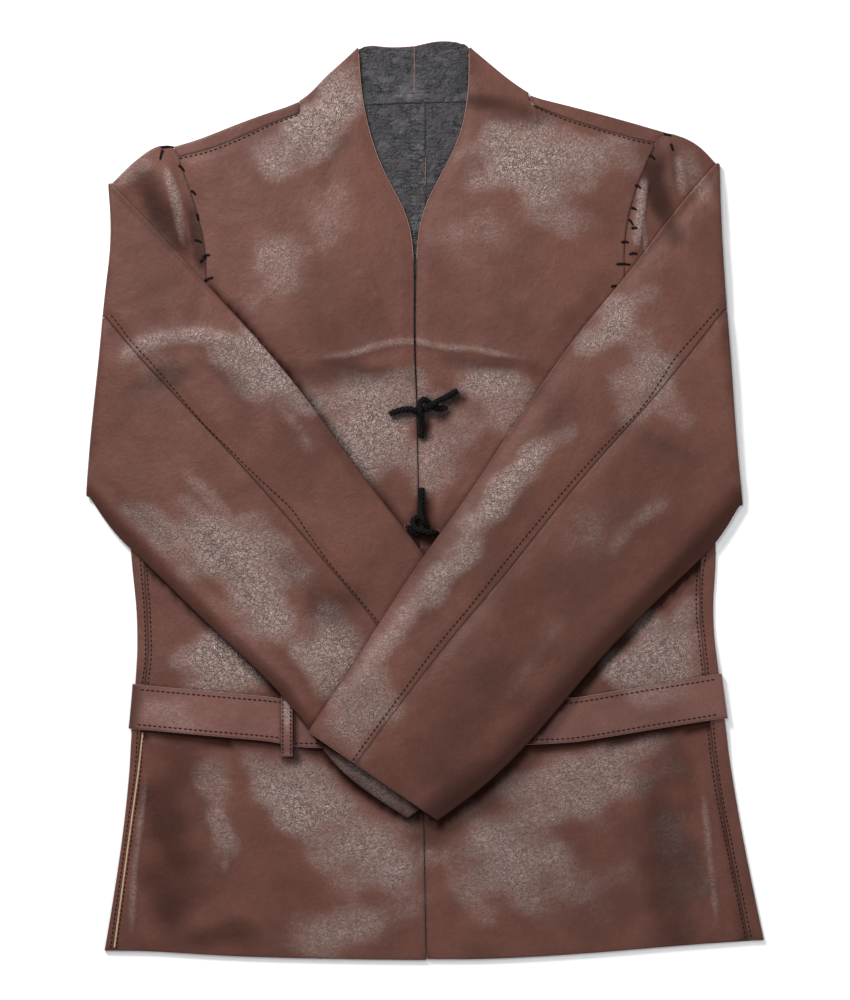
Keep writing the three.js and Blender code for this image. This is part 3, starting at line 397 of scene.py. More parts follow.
def hide_material(name, groups, deep, dark, mid, worn, depth=1.0):
    """The grain side of the hide, with painted highlights, shade and shadow in its colour."""
    material, n, surface = new_material(name)
    place = n.place()
    sheen, dye_and_shade, rim, trough_shade, shadow = map(n.attribute, ("sheen", "dark", "rim", "trough_shade", "shadow"))
    sheen = use_group(n, groups["breakup"], Place=place, Mask=sheen, Amount=0.9)["Mask"]
    dye_and_shade = use_group(n, groups["breakup"], Place=place, Mask=dye_and_shade, Amount=0.2)["Mask"]
    tone, flecks = use_group(n, groups["burnish"], Place=place)
    height, cracks = use_group(n, groups["grain"], Place=place, Crinkle=sheen, Depth=depth)
    colour = n.tint(mid, tone, 0.55, dark)
    # Painted highlight: the shiny places turn towards a paler, greyer colour, partly wear and partly a
    # painted sheen.
    colour = n.tint(colour, sheen, n.span(flecks, 0, 1, 0.56, 0.28), worn)
    colour = n.tint(colour, flecks, 0.26, dark)
    # Painted shade in the cracks between the crinkles.
    colour = n.tint(colour, cracks, 0.6, dark)
    # The darker places: partly dye, partly painted shade.
    colour = n.tint(colour, dye_and_shade, 0.8, deep)
    colour = n.tint(colour, shadow, 0.86, SHADOW)
    # Painted shade at the bottom of crease troughs and along cut edges and seams.
    edge = n.span(rim, 0, 2.0, 0.5, 0)
    colour = n.mix(n.math("ADD", n.math("MULTIPLY", trough_shade, 0.6), edge, clamp=True), colour, CREASE_AND_EDGE_SHADE)
    roughness = n.math("ADD", n.math("MULTIPLY", sheen, -0.2), n.span(tone, 0, 1, -0.04, 0.06))
    roughness = n.math("ADD", roughness, 0.48)
    gloss = n.total((sheen, 0.55), (dye_and_shade, -0.12), (shadow, -0.24))
    gloss = n.math("ADD", gloss, 0.22, clamp=True)
    finish_surface(n, surface, colour, roughness, gloss, height)
    return material


def flesh_material(name, groups, low, high, bright):
    """The flesh side of the hide, with painted sheen, shade and shadow in its colour."""
    material, n, surface = new_material(name)
    smudges, painted_sheen, wrinkles, fibres, height = use_group(n, groups["flesh"], Place=n.place())
    colour = n.mix(smudges, low, high)
    # Painted sheen on the nap.
    colour = n.tint(colour, painted_sheen, 0.55, bright)
    colour = n.mix(n.span(fibres, 0.5, 0.8, 0, 0.5), colour, bright)
    # Painted shade in the wrinkles.
    colour = n.tint(colour, wrinkles, 0.8, WRINKLE_SHADE)
    # The darker places: partly dye, partly painted shade by the collar and neck.
    colour = n.tint(colour, n.attribute("dark"), 0.75, FLESH_DYE_AND_SHADE)
    colour = n.tint(colour, n.attribute("shadow"), 0.7, FLESH_SHADOW)
    finish_surface(n, surface, colour, 0.52, 0.45, height)
    return material


def speckled_material(name, groups, low, high, size, roughness, depth):
    """Two colours in fine specks, for threads, cords and cut edges."""
    material, n, surface = new_material(name)
    specks, height = use_group(n, groups["specks"], Place=n.place(), Size=size, Depth=depth)
    finish_surface(n, surface, n.mix(specks, low, high), roughness, 0.09, height)
    return material


# ---------------------------------------------------------------- walls from the frame

# For each cloth node: which way its outside faces, how often its squares are halved, and what it is cut
# from. A tube's outside is its larger face.
PANELS = table("node faces levels material slot", [
    ("back_right", "down", 2, "hide", "leather"),
    ("back_left", "down", 2, "hide", "leather"),
    ("front_right", "up", 2, "hide", "leather"),
    ("front_left", "up", 2, "hide", "leather"),
    ("collar_back_right", "down", 3, "hide", "leather_inside"),
    ("collar_back_left", "down", 3, "hide", "leather_inside"),
    ("sleeve_right_top", "out", 2, "hide", "leather"),
    ("sleeve_right_under", "out", 2, "hide", "leather"),
    ("sleeve_left_top", "out", 2, "hide", "leather"),
    ("sleeve_left_under", "out", 2, "hide", "leather"),
    ("belt", "out", 2, "belt_hide", "leather"),
    ("belt_loop", "up", 3, "belt_hide", "leather"),
])


def welded(node):
    """The node's mesh with the corners that its triangles share joined."""
    bm = bmesh.new()
    bm.from_mesh(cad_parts[node].data)
    bmesh.ops.remove_doubles(bm, verts=bm.verts, dist=WELD * MM)
    bm.normal_update()
    bm.verts.index_update()
    bm.faces.index_update()
    return bm


def grow_regions(bm):
    """Faces in regions that are bounded by sharp edges, and how far each triangle's edges are turned
    against its region's first one: the same number means the same direction of the grid."""
    turned, regions = {}, []
    for seed in bm.faces:
        if seed.index in turned:
            continue
        turned[seed.index] = 0
        members = [seed]
        for face in members:
            for i, loop in enumerate(face.loops):
                if len(loop.edge.link_faces) != 2 or loop.edge.calc_face_angle(0) > SHARP:
                    continue
                across = loop.link_loop_radial_next
                if across.face.index not in turned:
                    j = list(across.face.loops).index(across)
                    turned[across.face.index] = (turned[face.index] + i - j) % 3
                    members.append(across.face)
        regions.append(members)
    return regions, turned


def diagonal_of(members, turned):
    """The grid direction that cuts the squares in two: the one whose opposite corners are squarest."""
    slack = [0.0, 0.0, 0.0]
    for face in members:
        for i, loop in enumerate(face.loops):
            corner = loop.link_loop_prev
            slack[(i + turned[face.index]) % 3] += abs(math.cos(corner.calc_angle()))
    return slack.index(min(slack))


def squares_of(members, turned):
    """The region's triangles joined in pairs across that direction."""
    diagonal = diagonal_of(members, turned)
    inside = {face.index for face in members}
    used, squares = set(), []
    for face in members:
        if face.index in used:
            continue
        used.add(face.index)
        loop = face.loops[(diagonal - turned[face.index]) % 3]
        across = loop.link_loop_radial_next
        mate = across.face
        corners = [v.index for v in face.verts]
        if mate.index in inside and mate.index not in used and mate is not face:
            j = list(mate.loops).index(across)
            if (j + turned[mate.index]) % 3 == diagonal:
                used.add(mate.index)
                a, b, c = loop.vert, loop.link_loop_next.vert, loop.link_loop_prev.vert
                corners = [a.index, across.link_loop_prev.vert.index, b.index, c.index]
        squares.append(corners)
    return squares


def region_facts(members):
    area = sum(face.calc_area() for face in members)
    up = sum(face.normal.z * face.calc_area() for face in members)
    return area, up


def wall_squares(panel):
    """Points on the plan, faces, and each face's side: OUTSIDE, INSIDE or an edge."""
    bm = welded(panel.node)
    regions, turned = grow_regions(bm)
    regions.sort(key=lambda members: -region_facts(members)[0])
    shells = regions[:2]
    score = {
        "up": lambda members: region_facts(members)[1],
        "down": lambda members: -region_facts(members)[1],
        "out": lambda members: region_facts(members)[0],
    }[panel.faces]
    shells.sort(key=score, reverse=True)
    faces, sides = [], []
    for side, members in [(OUTSIDE, shells[0]), (INSIDE, shells[1])] + [(RAW_EDGE, r) for r in regions[2:]]:
        squares = squares_of(members, turned)
        faces += squares
        sides += [side] * len(squares)
    points = np.array([v.co for v in bm.verts]) / MM - SHIFT
    bm.free()
    return points, faces, sides


def mark_sewn(walls):
    """Turns the cut edges that lie against another piece into SEWN_EDGE."""
    rims = []
    for name, (points, faces, sides) in walls.items():
        rims += [(name, k, points[faces[k]].mean(0)) for k, side in enumerate(sides) if side == RAW_EDGE]
    tree = point_tree([centre for _, _, centre in rims], range(len(rims)))
    for name, k, centre in rims:
        near = tree.find_range(centre, SEAM_REACH + LEATHER)
        if any(rims[i][0] != name for _, i, _ in near):
            walls[name][2][k] = SEWN_EDGE


def corner_values(points, cut_edges):
    """1 where a cut edge turns a corner, else 0."""
    ways = {}
    for a, b in cut_edges:
        ways.setdefault(a, []).append(unit(points[b] - points[a]))
        ways.setdefault(b, []).append(unit(points[a] - points[b]))
    values = [0.0] * len(points)
    for i, d in ways.items():
        values[i] = float(len(d) != 2 or np.dot(d[0], d[1]) > -math.cos(CORNER))
    return values


def subdivided(name, points, faces, sides, levels):
    """The wall as a smooth mesh that keeps its cut edges sharp."""
    mesh = bpy.data.meshes.new(name)
    mesh.from_pydata([tuple(p) for p in points], [], faces)
    mesh.polygons.foreach_set("material_index", sides)
    for _ in range(SEWN_EDGE + 1):
        mesh.materials.append(None)
    around = {}
    for k, polygon in enumerate(mesh.polygons):
        for key in polygon.edge_keys:
            around.setdefault(key, set()).add(min(sides[k], RAW_EDGE))
    crease = mesh.attributes.new("crease_edge", "FLOAT", "EDGE")
    keys = [tuple(sorted(e.vertices)) for e in mesh.edges]
    cut = [len(around[k]) > 1 for k in keys]
    crease.data.foreach_set("value", [float(c) for c in cut])
    corner = mesh.attributes.new("crease_vert", "FLOAT", "POINT")
    corner.data.foreach_set("value", corner_values(points, [k for k, c in zip(keys, cut) if c]))
    obj = object_of(name, mesh)
    modifier = obj.modifiers.new("finer", "SUBSURF")
    modifier.levels = modifier.render_levels = levels
    bpy.context.view_layer.update()
    fine = bpy.data.meshes.new_from_object(obj.evaluated_get(bpy.context.evaluated_depsgraph_get()))
    bpy.data.objects.remove(obj)
    bpy.data.meshes.remove(mesh)
    return fine


def halve_near(bm, chosen):
    """Halves the edges whose middles are chosen."""
    middles = np.array([(e.verts[0].co + e.verts[1].co) / 2 for e in bm.edges])
    outside = np.array([any(f.material_index == OUTSIDE for f in e.link_faces) for e in bm.edges])
    lengths = np.array([e.calc_length() for e in bm.edges])
    pick = chosen(middles) & outside & (lengths > FINEST)
    edges = [e for e, wanted in zip(bm.edges, pick) if wanted]
    bmesh.ops.subdivide_edges(bm, edges=edges, cuts=1, use_grid_fill=True)


def round_edges(bm):
    """Rounds the outer cut edges over, raw ones in the edge's material and sewn ones in the hide's."""
    for kind, offset, material in ((RAW_EDGE, RAW_BEVEL, RAW_EDGE), (SEWN_EDGE, SEAM_BEVEL, OUTSIDE)):
        edges = [
            e for e in bm.edges
            if {f.material_index for f in e.link_faces} == {OUTSIDE, kind}
        ]
        bmesh.ops.bevel(bm, geom=edges, offset=offset, segments=2, profile=0.5, affect="EDGES",
                        material=material, clamp_overlap=True, loop_slide=False)


# ---------------------------------------------------------------- the creases

# Ridges (height above 0) and troughs (below 0) along given lines. near and far are the widths to
# the left and the right of the line as it runs.
CREASES = by_piece("height near far line", {
    "front": [
        (1.12, 5, 3.2, [(-116, 131), (-96.6, 130.6), (-70, 133.4), (-52.4, 138), (-35, 143.1),
            (-11, 145.7), (17.9, 140.4), (44.2, 138.9), (61.6, 135.2), (88.3, 130.6), (112, 126.5)]),
        (-0.62, 4, 7, [(-100, 126.5), (-69.9, 121.5), (-43.7, 117.5), (-20, 122)]),
        (-0.56, 4, 8, [(14, 131), (52, 126), (92, 119)]),
        (-0.38, 1.6, 1.6, [(36.8, 293.5), (47, 296), (58.5, 300.5)]),
        (-0.88, 7, 12, [(58.9, 356), (88.3, 350), (118, 342)]),
        (0.9, 8, 9, [(52, 338), (90, 334), (128, 331)]),
        (1.05, 9, 14, [(-72, 366), (-104, 340), (-128, 312)]),
        (-0.62, 7, 9, [(-66, 340), (-84, 312), (-92, 280)]),
        (1.05, 5, 8, [(-194, -276), (-186, -302), (-181, -328), (-188, -350)]),
        (-0.5, 6, 8, [(-205, -262), (-200, -300), (-196, -340)]),
        (1.2, 3, 5, [(-252.5, -236), (-254, -243.8), (-259.4, -292.6), (-265.1, -341), (-269, -412)]),
        (1.05, 4, 4, [(255, -250), (257.1, -271.4), (265.3, -353.7), (272, -403)]),
        (0.6, 5, 7, [(236, -262), (240, -320), (250, -380)]),
        (0.52, 9, 14, [(40, -300), (90, -330), (160, -350)]),
        (0.52, 10, 12, [(-150, -262), (-100, -290), (-60, -330)]),
        (-0.31, 1.8, 2.2, [(190, -62), (212, -66), (234, -64)]),
        (0.52, 3, 4, [(-62, 214), (-48, 198), (-40, 180)]),
        (0.45, 6, 8, [(150, 212), (170, 176), (176, 140)]),
    ],
    "sleeve_right": [
        (1.65, 8, 10, [(-294, 104), (-262, 140), (-204, 152), (-150, 134), (-118, 100), (-92, 62)]),
        (-0.62, 6, 9, [(-280, 96), (-246, 112), (-214, 118)]),
        (1.05, 9, 12, [(-236, 40), (-200, 8), (-168, -30), (-140, -76)]),
        (-0.5, 5, 8, [(-226, -6), (-190, -42), (-160, -82)]),
        (0.75, 7, 9, [(-150, 108), (-118, 70), (-96, 34)]),
        (0.68, 5, 7, [(-90, -80), (-84, -120), (-92, -160)]),
        (-0.38, 4, 5, [(-104, -78), (-98, -112), (-108, -148)]),
        (1.95, 5, 6, [(-238, 312), (-231, 288), (-226, 264), (-223, 240), (-216, 222)]),
        (-1.12, 9, 9, [(-256, 290), (-246, 268), (-234, 246), (-218, 222)]),
        (-0.88, 5, 4, [(-214, 270), (-211, 250), (-209, 232)]),
    ],
    "sleeve_left": [
        (1.2, 10, 13, [(128, 70), (88.3, 19.3), (49.7, -26.7), (5.5, -81.9), (-35.9, -137.1), (-68, -183),
            (-86, -218)]),
        (-0.5, 8, 10, [(140, 96), (96, 44), (52, -12)]),
        (1.05, 10, 13, [(252, 62), (228, 80), (202, 92)]),
        (-0.62, 7, 8, [(258, 30), (226, 48), (192, 60)]),
        (0.9, 8, 11, [(236, 4), (196, -20), (160, -62)]),
        (0.6, 9, 11, [(140, -96), (104, -140), (66, -196)]),
        (2.1, 3, 6, [(207, 304), (202.5, 276), (199, 250), (196, 226)]),
        (-1.12, 8, 10, [(214, 316), (216, 294), (219, 272), (222, 252)]),
        (1.2, 6, 7, [(234, 322), (237, 296), (240, 274)]),
    ],
    "collar": [
        (-0.5, 1.8, 2.2, [(-6, 396), (8, 397.5), (26, 396), (44, 398)]),
        (0.5, 3, 3, [(-4, 401), (12, 403), (34, 402)]),
        (0.4, 3, 4, [(-52, 410), (-46, 396), (-44, 380)]),
        (-0.4, 1.5, 2, [(-60, 388), (-46, 386), (-28, 388)]),
    ],
    "back": [
        (0.35, 5, 7, [(-70, 300), (-20, 306), (40, 298)]),
        (0.3, 4, 6, [(-210, 60), (-150, 76), (-100, 66)]),
        (0.35, 6, 8, [(90, 120), (150, 96), (210, 104)]),
        (0.3, 8, 10, [(-220, -300), (-150, -330), (-60, -322)]),
        (0.3, 8, 9, [(60, -290), (140, -340), (220, -352)]),
    ],
    "belt": [
        (0.35, 9, 9, [(-170, -178), (-176, -224)]),
        (0.3, 10, 12, [(190, -168), (198, -214)]),
        (-0.25, 8, 8, [(226, -166), (232, -206)]),
    ],
})

# Shiny, crinkled places, whose colour is also painted paler as a highlight: centre, half length and half
# width, the long side's direction, and strength.
SHEEN = by_piece("x y long wide angle strength", {
    "front": [
        (98, 309, 46, 32, -20, 1.0), (150, 322, 44, 20, -15, 0.6), (122, 262, 34, 18, 10, 0.45),
        (-97, 352, 46, 22, 50, 1.0), (-128, 318, 26, 20, 30, 0.6), (-86, 262, 40, 20, 70, 0.35),
        (-137, 217, 36, 24, 60, 0.5), (42, 245, 40, 22, 0, 0.35), (162, -243, 50, 22, 10, 0.7),
        (-56, 60, 44, 34, -50, 0.95), (-44, 92, 62, 24, 0, 0.75), (70, 84, 44, 30, -40, 0.5),
        (6, 40, 30, 30, 0, 0.6), (62, 104, 44, 15, -14, 0.75), (34, 70, 30, 26, 40, 0.35),
        (-182, -148, 36, 28, -45, 1.0), (-200, -176, 22, 16, -30, 0.6), (216, -150, 46, 32, 40, 1.0),
        (236, -110, 26, 14, 50, 0.6), (-108, -274, 48, 30, -28, 1.0), (-52, -322, 54, 36, -25, 0.8),
        (-190, -254, 26, 16, -60, 0.5), (-186, -304, 14, 26, 10, 0.6), (-70, -392, 54, 24, 10, 0.6),
        (78, -332, 52, 46, 0, 0.7), (142, -262, 70, 30, 12, 0.7), (130, -352, 60, 34, 10, 0.35),
        (232, -330, 24, 60, 4, 0.35),
    ],
    "belt_loop": [
        (-125.8, -194, 14, 4, 90, 1.0),
    ],
    "sleeve_right": [
        (-53, -256, 56, 9, -37, 0.8), (-268, 300, 22, 10, 40, 0.4), (-146, 124, 40, 28, -50, 1.0),
        (-178, -50, 58, 30, -28, 1.0), (-150, -100, 34, 26, -50, 0.9), (-232, -30, 40, 22, -20, 0.6),
        (-78, -142, 44, 26, -60, 0.8), (-250, 130, 50, 30, 60, 0.3),
    ],
    "sleeve_left": [
        (200, 262, 24, 2.6, 97, 1.0), (250, 300, 26, 12, 110, 0.4), (80, 12, 62, 12, 50, 0.9),
        (22, -62, 60, 12, 50, 0.7), (-60, -190, 46, 26, 50, 0.6), (180, 162, 30, 20, 40, 0.8),
        (203, 111, 44, 26, 60, 0.6), (150, -20, 40, 26, 50, 0.3),
    ],
    "belt": [
        (-232, -196, 30, 15, 0, 0.55), (214, -176, 30, 16, 10, 0.5),
    ],
    "back": [
        (-120, 180, 70, 50, 30, 0.6), (130, -60, 80, 46, -30, 0.6), (-140, -280, 70, 40, 10, 0.6),
        (60, 280, 60, 30, -10, 0.5),
    ],
})

# Darker places, in the same columns: partly dye rubbed in darker, partly painted shade in valleys and
# folds, beside the collar, and under the sleeves and the belt.
DARK = by_piece("x y long wide angle strength", {
    "front": [
        (-234, -312, 105, 28, 88, 0.8), (-183, -399, 40, 13, 0, 0.7), (226, -321, 100, 28, 92, 0.8),
        (288, -325, 95, 10, 97, 0.8), (-60, 160, 80, 28, 6, 0.35), (-74, 118, 72, 13, -4, 0.6),
        (55, 126, 60, 9, -6, 0.45), (-174, 159, 34, 16, -45, 0.65), (153, 189, 34, 16, 52, 0.4),
        (66, 363, 50, 8, -15, 0.8), (46, 396, 20, 5, -78, 0.5), (-4, -40, 20, 10, 0, 0.5),
        (5, -303, 22, 14, 0, 0.6), (-215, -225, 58, 6, 0, 0.6), (180, -216, 74, 6, 8, 0.6),
        (-170, -96, 30, 20, -40, 0.35),
    ],
    "sleeve_left": [
        (56, -180, 140, 34, 52, 0.5), (96, -104, 110, 34, 46, 0.4), (-16, -244, 50, 24, 52, 0.4),
        (116, 74, 46, 20, 36, 0.3), (284, 150, 160, 11, 94, 0.55), (245, 166, 34, 20, 90, 0.3),
        (217, 285, 46, 12, 98, 1.0), (230, 304, 26, 5, 95, 0.6), (190, 10, 80, 40, 46, 0.3),
    ],
    "sleeve_right": [
        (-240, 262, 44, 13, -60, 1.0), (-210, 246, 34, 7, -82, 0.9), (-206, 224, 12, 8, -60, 1.0),
        (-302, 150, 150, 9, 86, 0.5), (-234, 116, 42, 12, 22, 0.55), (-178, 112, 30, 11, -30, 0.5),
        (-86, -91, 38, 26, -50, 0.65), (-123, -63, 28, 13, -50, 0.5), (-82, 55, 34, 8, -55, 0.5),
        (-262, -20, 40, 24, -40, 0.35),
    ],
    "collar": [
        (-59, 388, 34, 9, 94, 0.9), (38, 392, 34, 8, 86, 0.9), (0, 396, 34, 3.5, 2, 0.8),
        (-10, 419, 50, 4, 0, 0.6), (20, 390, 24, 1.8, 3, 1.0), (-46, 382, 14, 1.5, 0, 0.8),
    ],
    "back": [
        (-26, 351, 15, 1.5, -12, 0.7), (20, 343, 13, 1.4, 2, 0.7), (-28, 302, 15, 1.6, -4, 0.7),
        (17, 302, 9, 1.4, 0, 0.6), (-60, 20, 120, 60, 70, 0.5), (180, 160, 80, 50, 20, 0.5),
        (-200, -180, 70, 50, 0, 0.5),
    ],
    "belt": [
        (-269, -194, 44, 8, 86, 0.75), (-60, -206, 60, 20, 0, 0.4),
    ],
})

# Painted shade along a sleeve's long edges, where it rounds away: how far in it reaches and how dark it is,
# over the arm and under it.
EDGE_SHADE = {
    "sleeve_right": [(5, 0.4), (20, 0.8)],
    "sleeve_left": [(6, 0.4), (38, 1.0)],
}

# Soft swells of the hide: a wave's length, direction in degrees, phase and share of the height.
SWELLS = table("length angle phase share", [
    (172, 24, 0.4, 0.24), (131, 112, 1.9, 0.20), (97, 67, 3.1, 0.16), (83, 151, 5.0, 0.13),
    (61, 8, 2.2, 0.10), (54, 94, 0.9, 0.08), (43, 133, 4.1, 0.05), (37, 48, 1.2, 0.04),
])


def smooth_line(points, step=3.0):
    """Points about step apart on a smooth curve through the given ones."""
    p = np.asarray(points, float)
    if len(p) == 2:
        count = max(2, int(np.linalg.norm(p[1] - p[0]) / step))
        return np.linspace(p[0], p[1], count + 1)
    ends = np.vstack([2 * p[0] - p[1], p, 2 * p[-1] - p[-2]])
    out = []
    for a, b, c, d in zip(ends, ends[1:], ends[2:], ends[3:]):
        count = max(1, int(np.linalg.norm(c - b) / step))
        t = np.linspace(0, 1, count, endpoint=False)[:, None]
        bend, twist = 2 * a - 5 * b + 4 * c - d, 3 * b - a - 3 * c + d
        out.append(0.5 * (2 * b + (c - a) * t + bend * t**2 + twist * t**3))
    return np.vstack(out + [p[-1:]])


def beside_line(xy, line):
    """For each point: its signed distance from the line (left is positive), and how far along it is,
    from 0 to 1 and beyond at the ends, where the distance is from the end itself."""
    a, b = line[:-1], line[1:]
    d = b - a
    lengths = np.linalg.norm(d, axis=1)
    before = np.concatenate([[0], np.cumsum(lengths)])
    best = np.full(len(xy), 1e9)
    side = np.ones(len(xy))
    along = np.zeros(len(xy))
    for k in range(len(a)):
        v = xy - a[k]
        t = np.clip((v @ d[k]) / lengths[k] ** 2, 0, 1)
        away = v - t[:, None] * d[k]
        distance = np.hypot(away[:, 0], away[:, 1])
        nearer = distance < best
        best[nearer] = distance[nearer]
        cross = d[k][0] * v[:, 1] - d[k][1] * v[:, 0]
        side[nearer] = np.where(cross[nearer] >= 0, 1, -1)
        along[nearer] = (before[k] + t[nearer] * lengths[k]) / before[-1]
    return best * side, along


CREASE_STEP = 6.0
CREASE_REACH = 3            # beyond this many times its width a crease is flat
CREASE_ENDS = 0.22          # share of a crease's length over which it fades at each end


def crease_height(xy, crease):
    line = smooth_line(crease.line, CREASE_STEP)
    reach = CREASE_REACH * max(crease.near, crease.far)
    low, high = line.min(0) - reach, line.max(0) + reach
    inside = np.all((xy > low) & (xy < high), axis=1)
    height = np.zeros(len(xy))
    if inside.any():
        away, along = beside_line(xy[inside], line)
        width = np.where(away > 0, crease.near, crease.far)
        fade = ease(along / CREASE_ENDS) * ease((1 - along) / CREASE_ENDS)
        height[inside] = crease.height * np.exp(-((away / width) ** 2)) * fade
    return height


SWAY, SWAY_LENGTH = 0.9, 47         # how far and how fast a wave bends to the side


def swell_share(xy, phase):
    """From 0 to 1, with soft waves that run in many directions."""
    total = np.zeros(len(xy))
    for s in SWELLS:
        a = math.radians(s.angle)
        run = xy[:, 0] * math.cos(a) + xy[:, 1] * math.sin(a)
        bend = xy[:, 1] * math.cos(a) - xy[:, 0] * math.sin(a)
        sway = SWAY * np.sin(bend / SWAY_LENGTH + s.phase)
        total += s.share * np.sin(run * 2 * math.pi / s.length + s.phase * phase + sway)
    return 0.5 + 0.5 * total


FAMILIES = ("front", "back", "collar", "sleeve_right", "sleeve_left", "belt_loop", "belt")


def family(node):
    """The part of a node's name that the tables of creases and patches use."""
    return next(name for name in FAMILIES if node.startswith(name))


PATCH_FOOT, PATCH_FADE = 1.85, 1.8  # in half widths: where a patch ends, and over how much it fades
PATCH_WIDE = 20                     # a patch of at least this half width wanders fully


def wandering(xy, scale):
    """Small shifts that make a patch's outline uneven."""
    x, y = xy.T
    dx = 5 * np.sin(y / 23 + 1.3) + 3 * np.sin((x + y) / 11)
    dy = 4 * np.sin(x / 19 + 0.4) + 3 * np.sin((x - y) / 13 + 2)
    return np.column_stack([dx, dy]) * scale


def patches_at(rows, xy):
    """The strongest of some soft patches at each point."""
    total = np.zeros(len(xy))
    wobble = 0.16 * np.sin(xy[:, 0] / 9 + xy[:, 1] / 13) + 0.12 * np.sin(xy[:, 1] / 6 - xy[:, 0] / 17)
    for s in rows:
        along = np.array([math.cos(math.radians(s.angle)), math.sin(math.radians(s.angle))])
        d = xy - (s.x, s.y) + wandering(xy, min(1.0, s.wide / PATCH_WIDE))
        u, v = d @ along / s.long, d @ (-along[1], along[0]) / s.wide
        total = np.maximum(total, s.strength * ease((PATCH_FOOT - np.hypot(u, v) + wobble) / PATCH_FADE))
    return total


def painted_edge_shade(name, xy):
    """The painted shade along the long edges of a sleeve."""
    if name not in EDGE_SHADE:
        return np.zeros(len(xy))
    edges = zip(sleeve_edge_distances(name, xy), EDGE_SHADE[name])
    return np.maximum(*[strength * (1 - ease(away / reach)) for away, (reach, strength) in edges])


def mesh_arrays(mesh):
    co = np.empty(len(mesh.vertices) * 3)
    mesh.vertices.foreach_get("co", co)
    return co.reshape(-1, 3)


LAYER_TURN, LAYER_FADE = 0.1, 0.8   # a face belongs to the upper layer from this slant up, and how softly


def upper_share(mesh, co):
    """1 for points of the wall's upper layer and 0 for those of its lower one, on both faces."""
    normal = np.zeros((len(co), 3))
    for polygon in mesh.polygons:
        sign = {OUTSIDE: 1, INSIDE: -1}.get(polygon.material_index, 0)
        if sign:
            normal[list(polygon.vertices)] += np.array(polygon.normal) * (sign * polygon.area)
    length = np.linalg.norm(normal, axis=1)
    known = length > 0
    share = np.zeros(len(co))
    share[known] = ease((normal[known, 2] / length[known] + LAYER_TURN) / LAYER_FADE)
    tree = point_tree(co[known], np.flatnonzero(known).tolist())
    for i in np.flatnonzero(~known):
        share[i] = share[tree.find(co[i])[1]]
    return share


def rim_distance(mesh, co, reach=12.0):
    """How far each point is from the wall's cut edges, up to reach."""
    cut = [p.vertices for p in mesh.polygons if p.material_index in (RAW_EDGE, SEWN_EDGE)]
    rim = sorted({v for vertices in cut for v in vertices})
    tree = point_tree(co[rim], rim)
    return np.array([min(tree.find(p)[2], reach) for p in co])


def set_values(mesh, name, values):
    layer = mesh.attributes.new(name, "FLOAT", "POINT")
    layer.data.foreach_set("value", np.asarray(values, np.float32))


# How high the swells rise on each part, and how far from what lies on a front they fade in.
SWELL = {"front": 2.2, "sleeve_right": 2.6, "sleeve_left": 2.4, "belt": 0.3}
FRONTS = ["front_right", "front_left"]
UPPER_SLEEVE = ["sleeve_left_top", "sleeve_left_under"]
COVERS = {
    "front": ["sleeve_right_top", "sleeve_right_under", *UPPER_SLEEVE, "belt", "belt_loop",
              "tie_upper_right", "tie_upper_left", "tie_lower_right", "tie_lower_left"],
    "sleeve_right": UPPER_SLEEVE,
    "belt": ["sleeve_right_top", "sleeve_right_under", *UPPER_SLEEVE, "belt_loop"],
    "back": FRONTS,
    "collar": FRONTS,
}
COVER_START, COVER_HEIGHT = 0.1, 50     # a cover is looked for from here to here above the hide
COVER_FADE = 22.0
CAP_FOOT_Y = 212.0          # above this the caps are sewn to the fronts, and don't lie on them
SHADOW_REACH = {"front": 10.0, "sleeve_right": 8.0, "belt": 6.0, "back": 12.0, "collar": 9.0}
SHADOW_SHIFT = {"front": (-3.4, 4.8), "sleeve_right": (-2.0, 2.4), "belt": (-2.0, 2.0)}
PUFF = {"sleeve_right": 0.8, "sleeve_left": 1.8}
PUFF_WIDTH = 26.0
RIM_FADE, EDGE_FADE = 12.0, 14.0    # over which the swells rise from a cut edge, and from a sleeve's fold
# Crease crests count as shiny places, painted paler as a highlight, up to this share.
CREST_SHEEN = 0.6
CREST_FULL, SHADE_FULL_DEPTH = 1.6, 1.2  # a crease this high is fully shiny and painted pale as a highlight, and one this deep is painted fully dark as shade
SHARP_CREASE = 6                    # one narrower than this has its faces halved once more,
CREASE_FINE = 1.6                   # up to this many times its width
SMOOTH_ANGLE = math.radians(42)


def tree_of(mesh):
    return BVHTree.FromPolygons([v.co for v in mesh.vertices], [p.vertices for p in mesh.polygons])


def covered_points(name, co, upper):
    """A tree of the points on the upper layer that one of the piece's covers lies over."""
    trees = [tree_of(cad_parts[n].data) for n in COVERS[name]]
    places = to_frame(co)
    up = Vector((0, 0, 1))
    covered = []
    for i in np.flatnonzero(upper > 0.5):
        start = Vector(places[i]) + up * (COVER_START * MM)
        if any(tree.ray_cast(start, up, COVER_HEIGHT * MM)[0] is not None for tree in trees):
            covered.append(int(i))
    return point_tree([(co[i][0], co[i][1], 0) for i in covered], covered)


def cover_distance(tree, xy, shift=(0.0, 0.0)):
    return np.array([tree.find((x + shift[0], y + shift[1], 0))[2] for x, y in xy])


# Cut edges that are drawn up to the next piece: where, how far round, and which way.
NUDGES = table("node x y reach dx dy", [
    ("sleeve_right_top", -231, 318, 15, 2.3, 0.5),
    ("sleeve_left_top", 221, 333, 15, -2.0, 2.3),
    ("back_right", -117, 363, 9, 1.6, 1.5),
    ("back_left", 99, 370, 9, -1.6, 1.2),
    ("collar_back_left", 39, 416, 7, 1.7, 0.9),
    ("collar_back_right", -59, 415, 6, -1.4, 0.7),
])


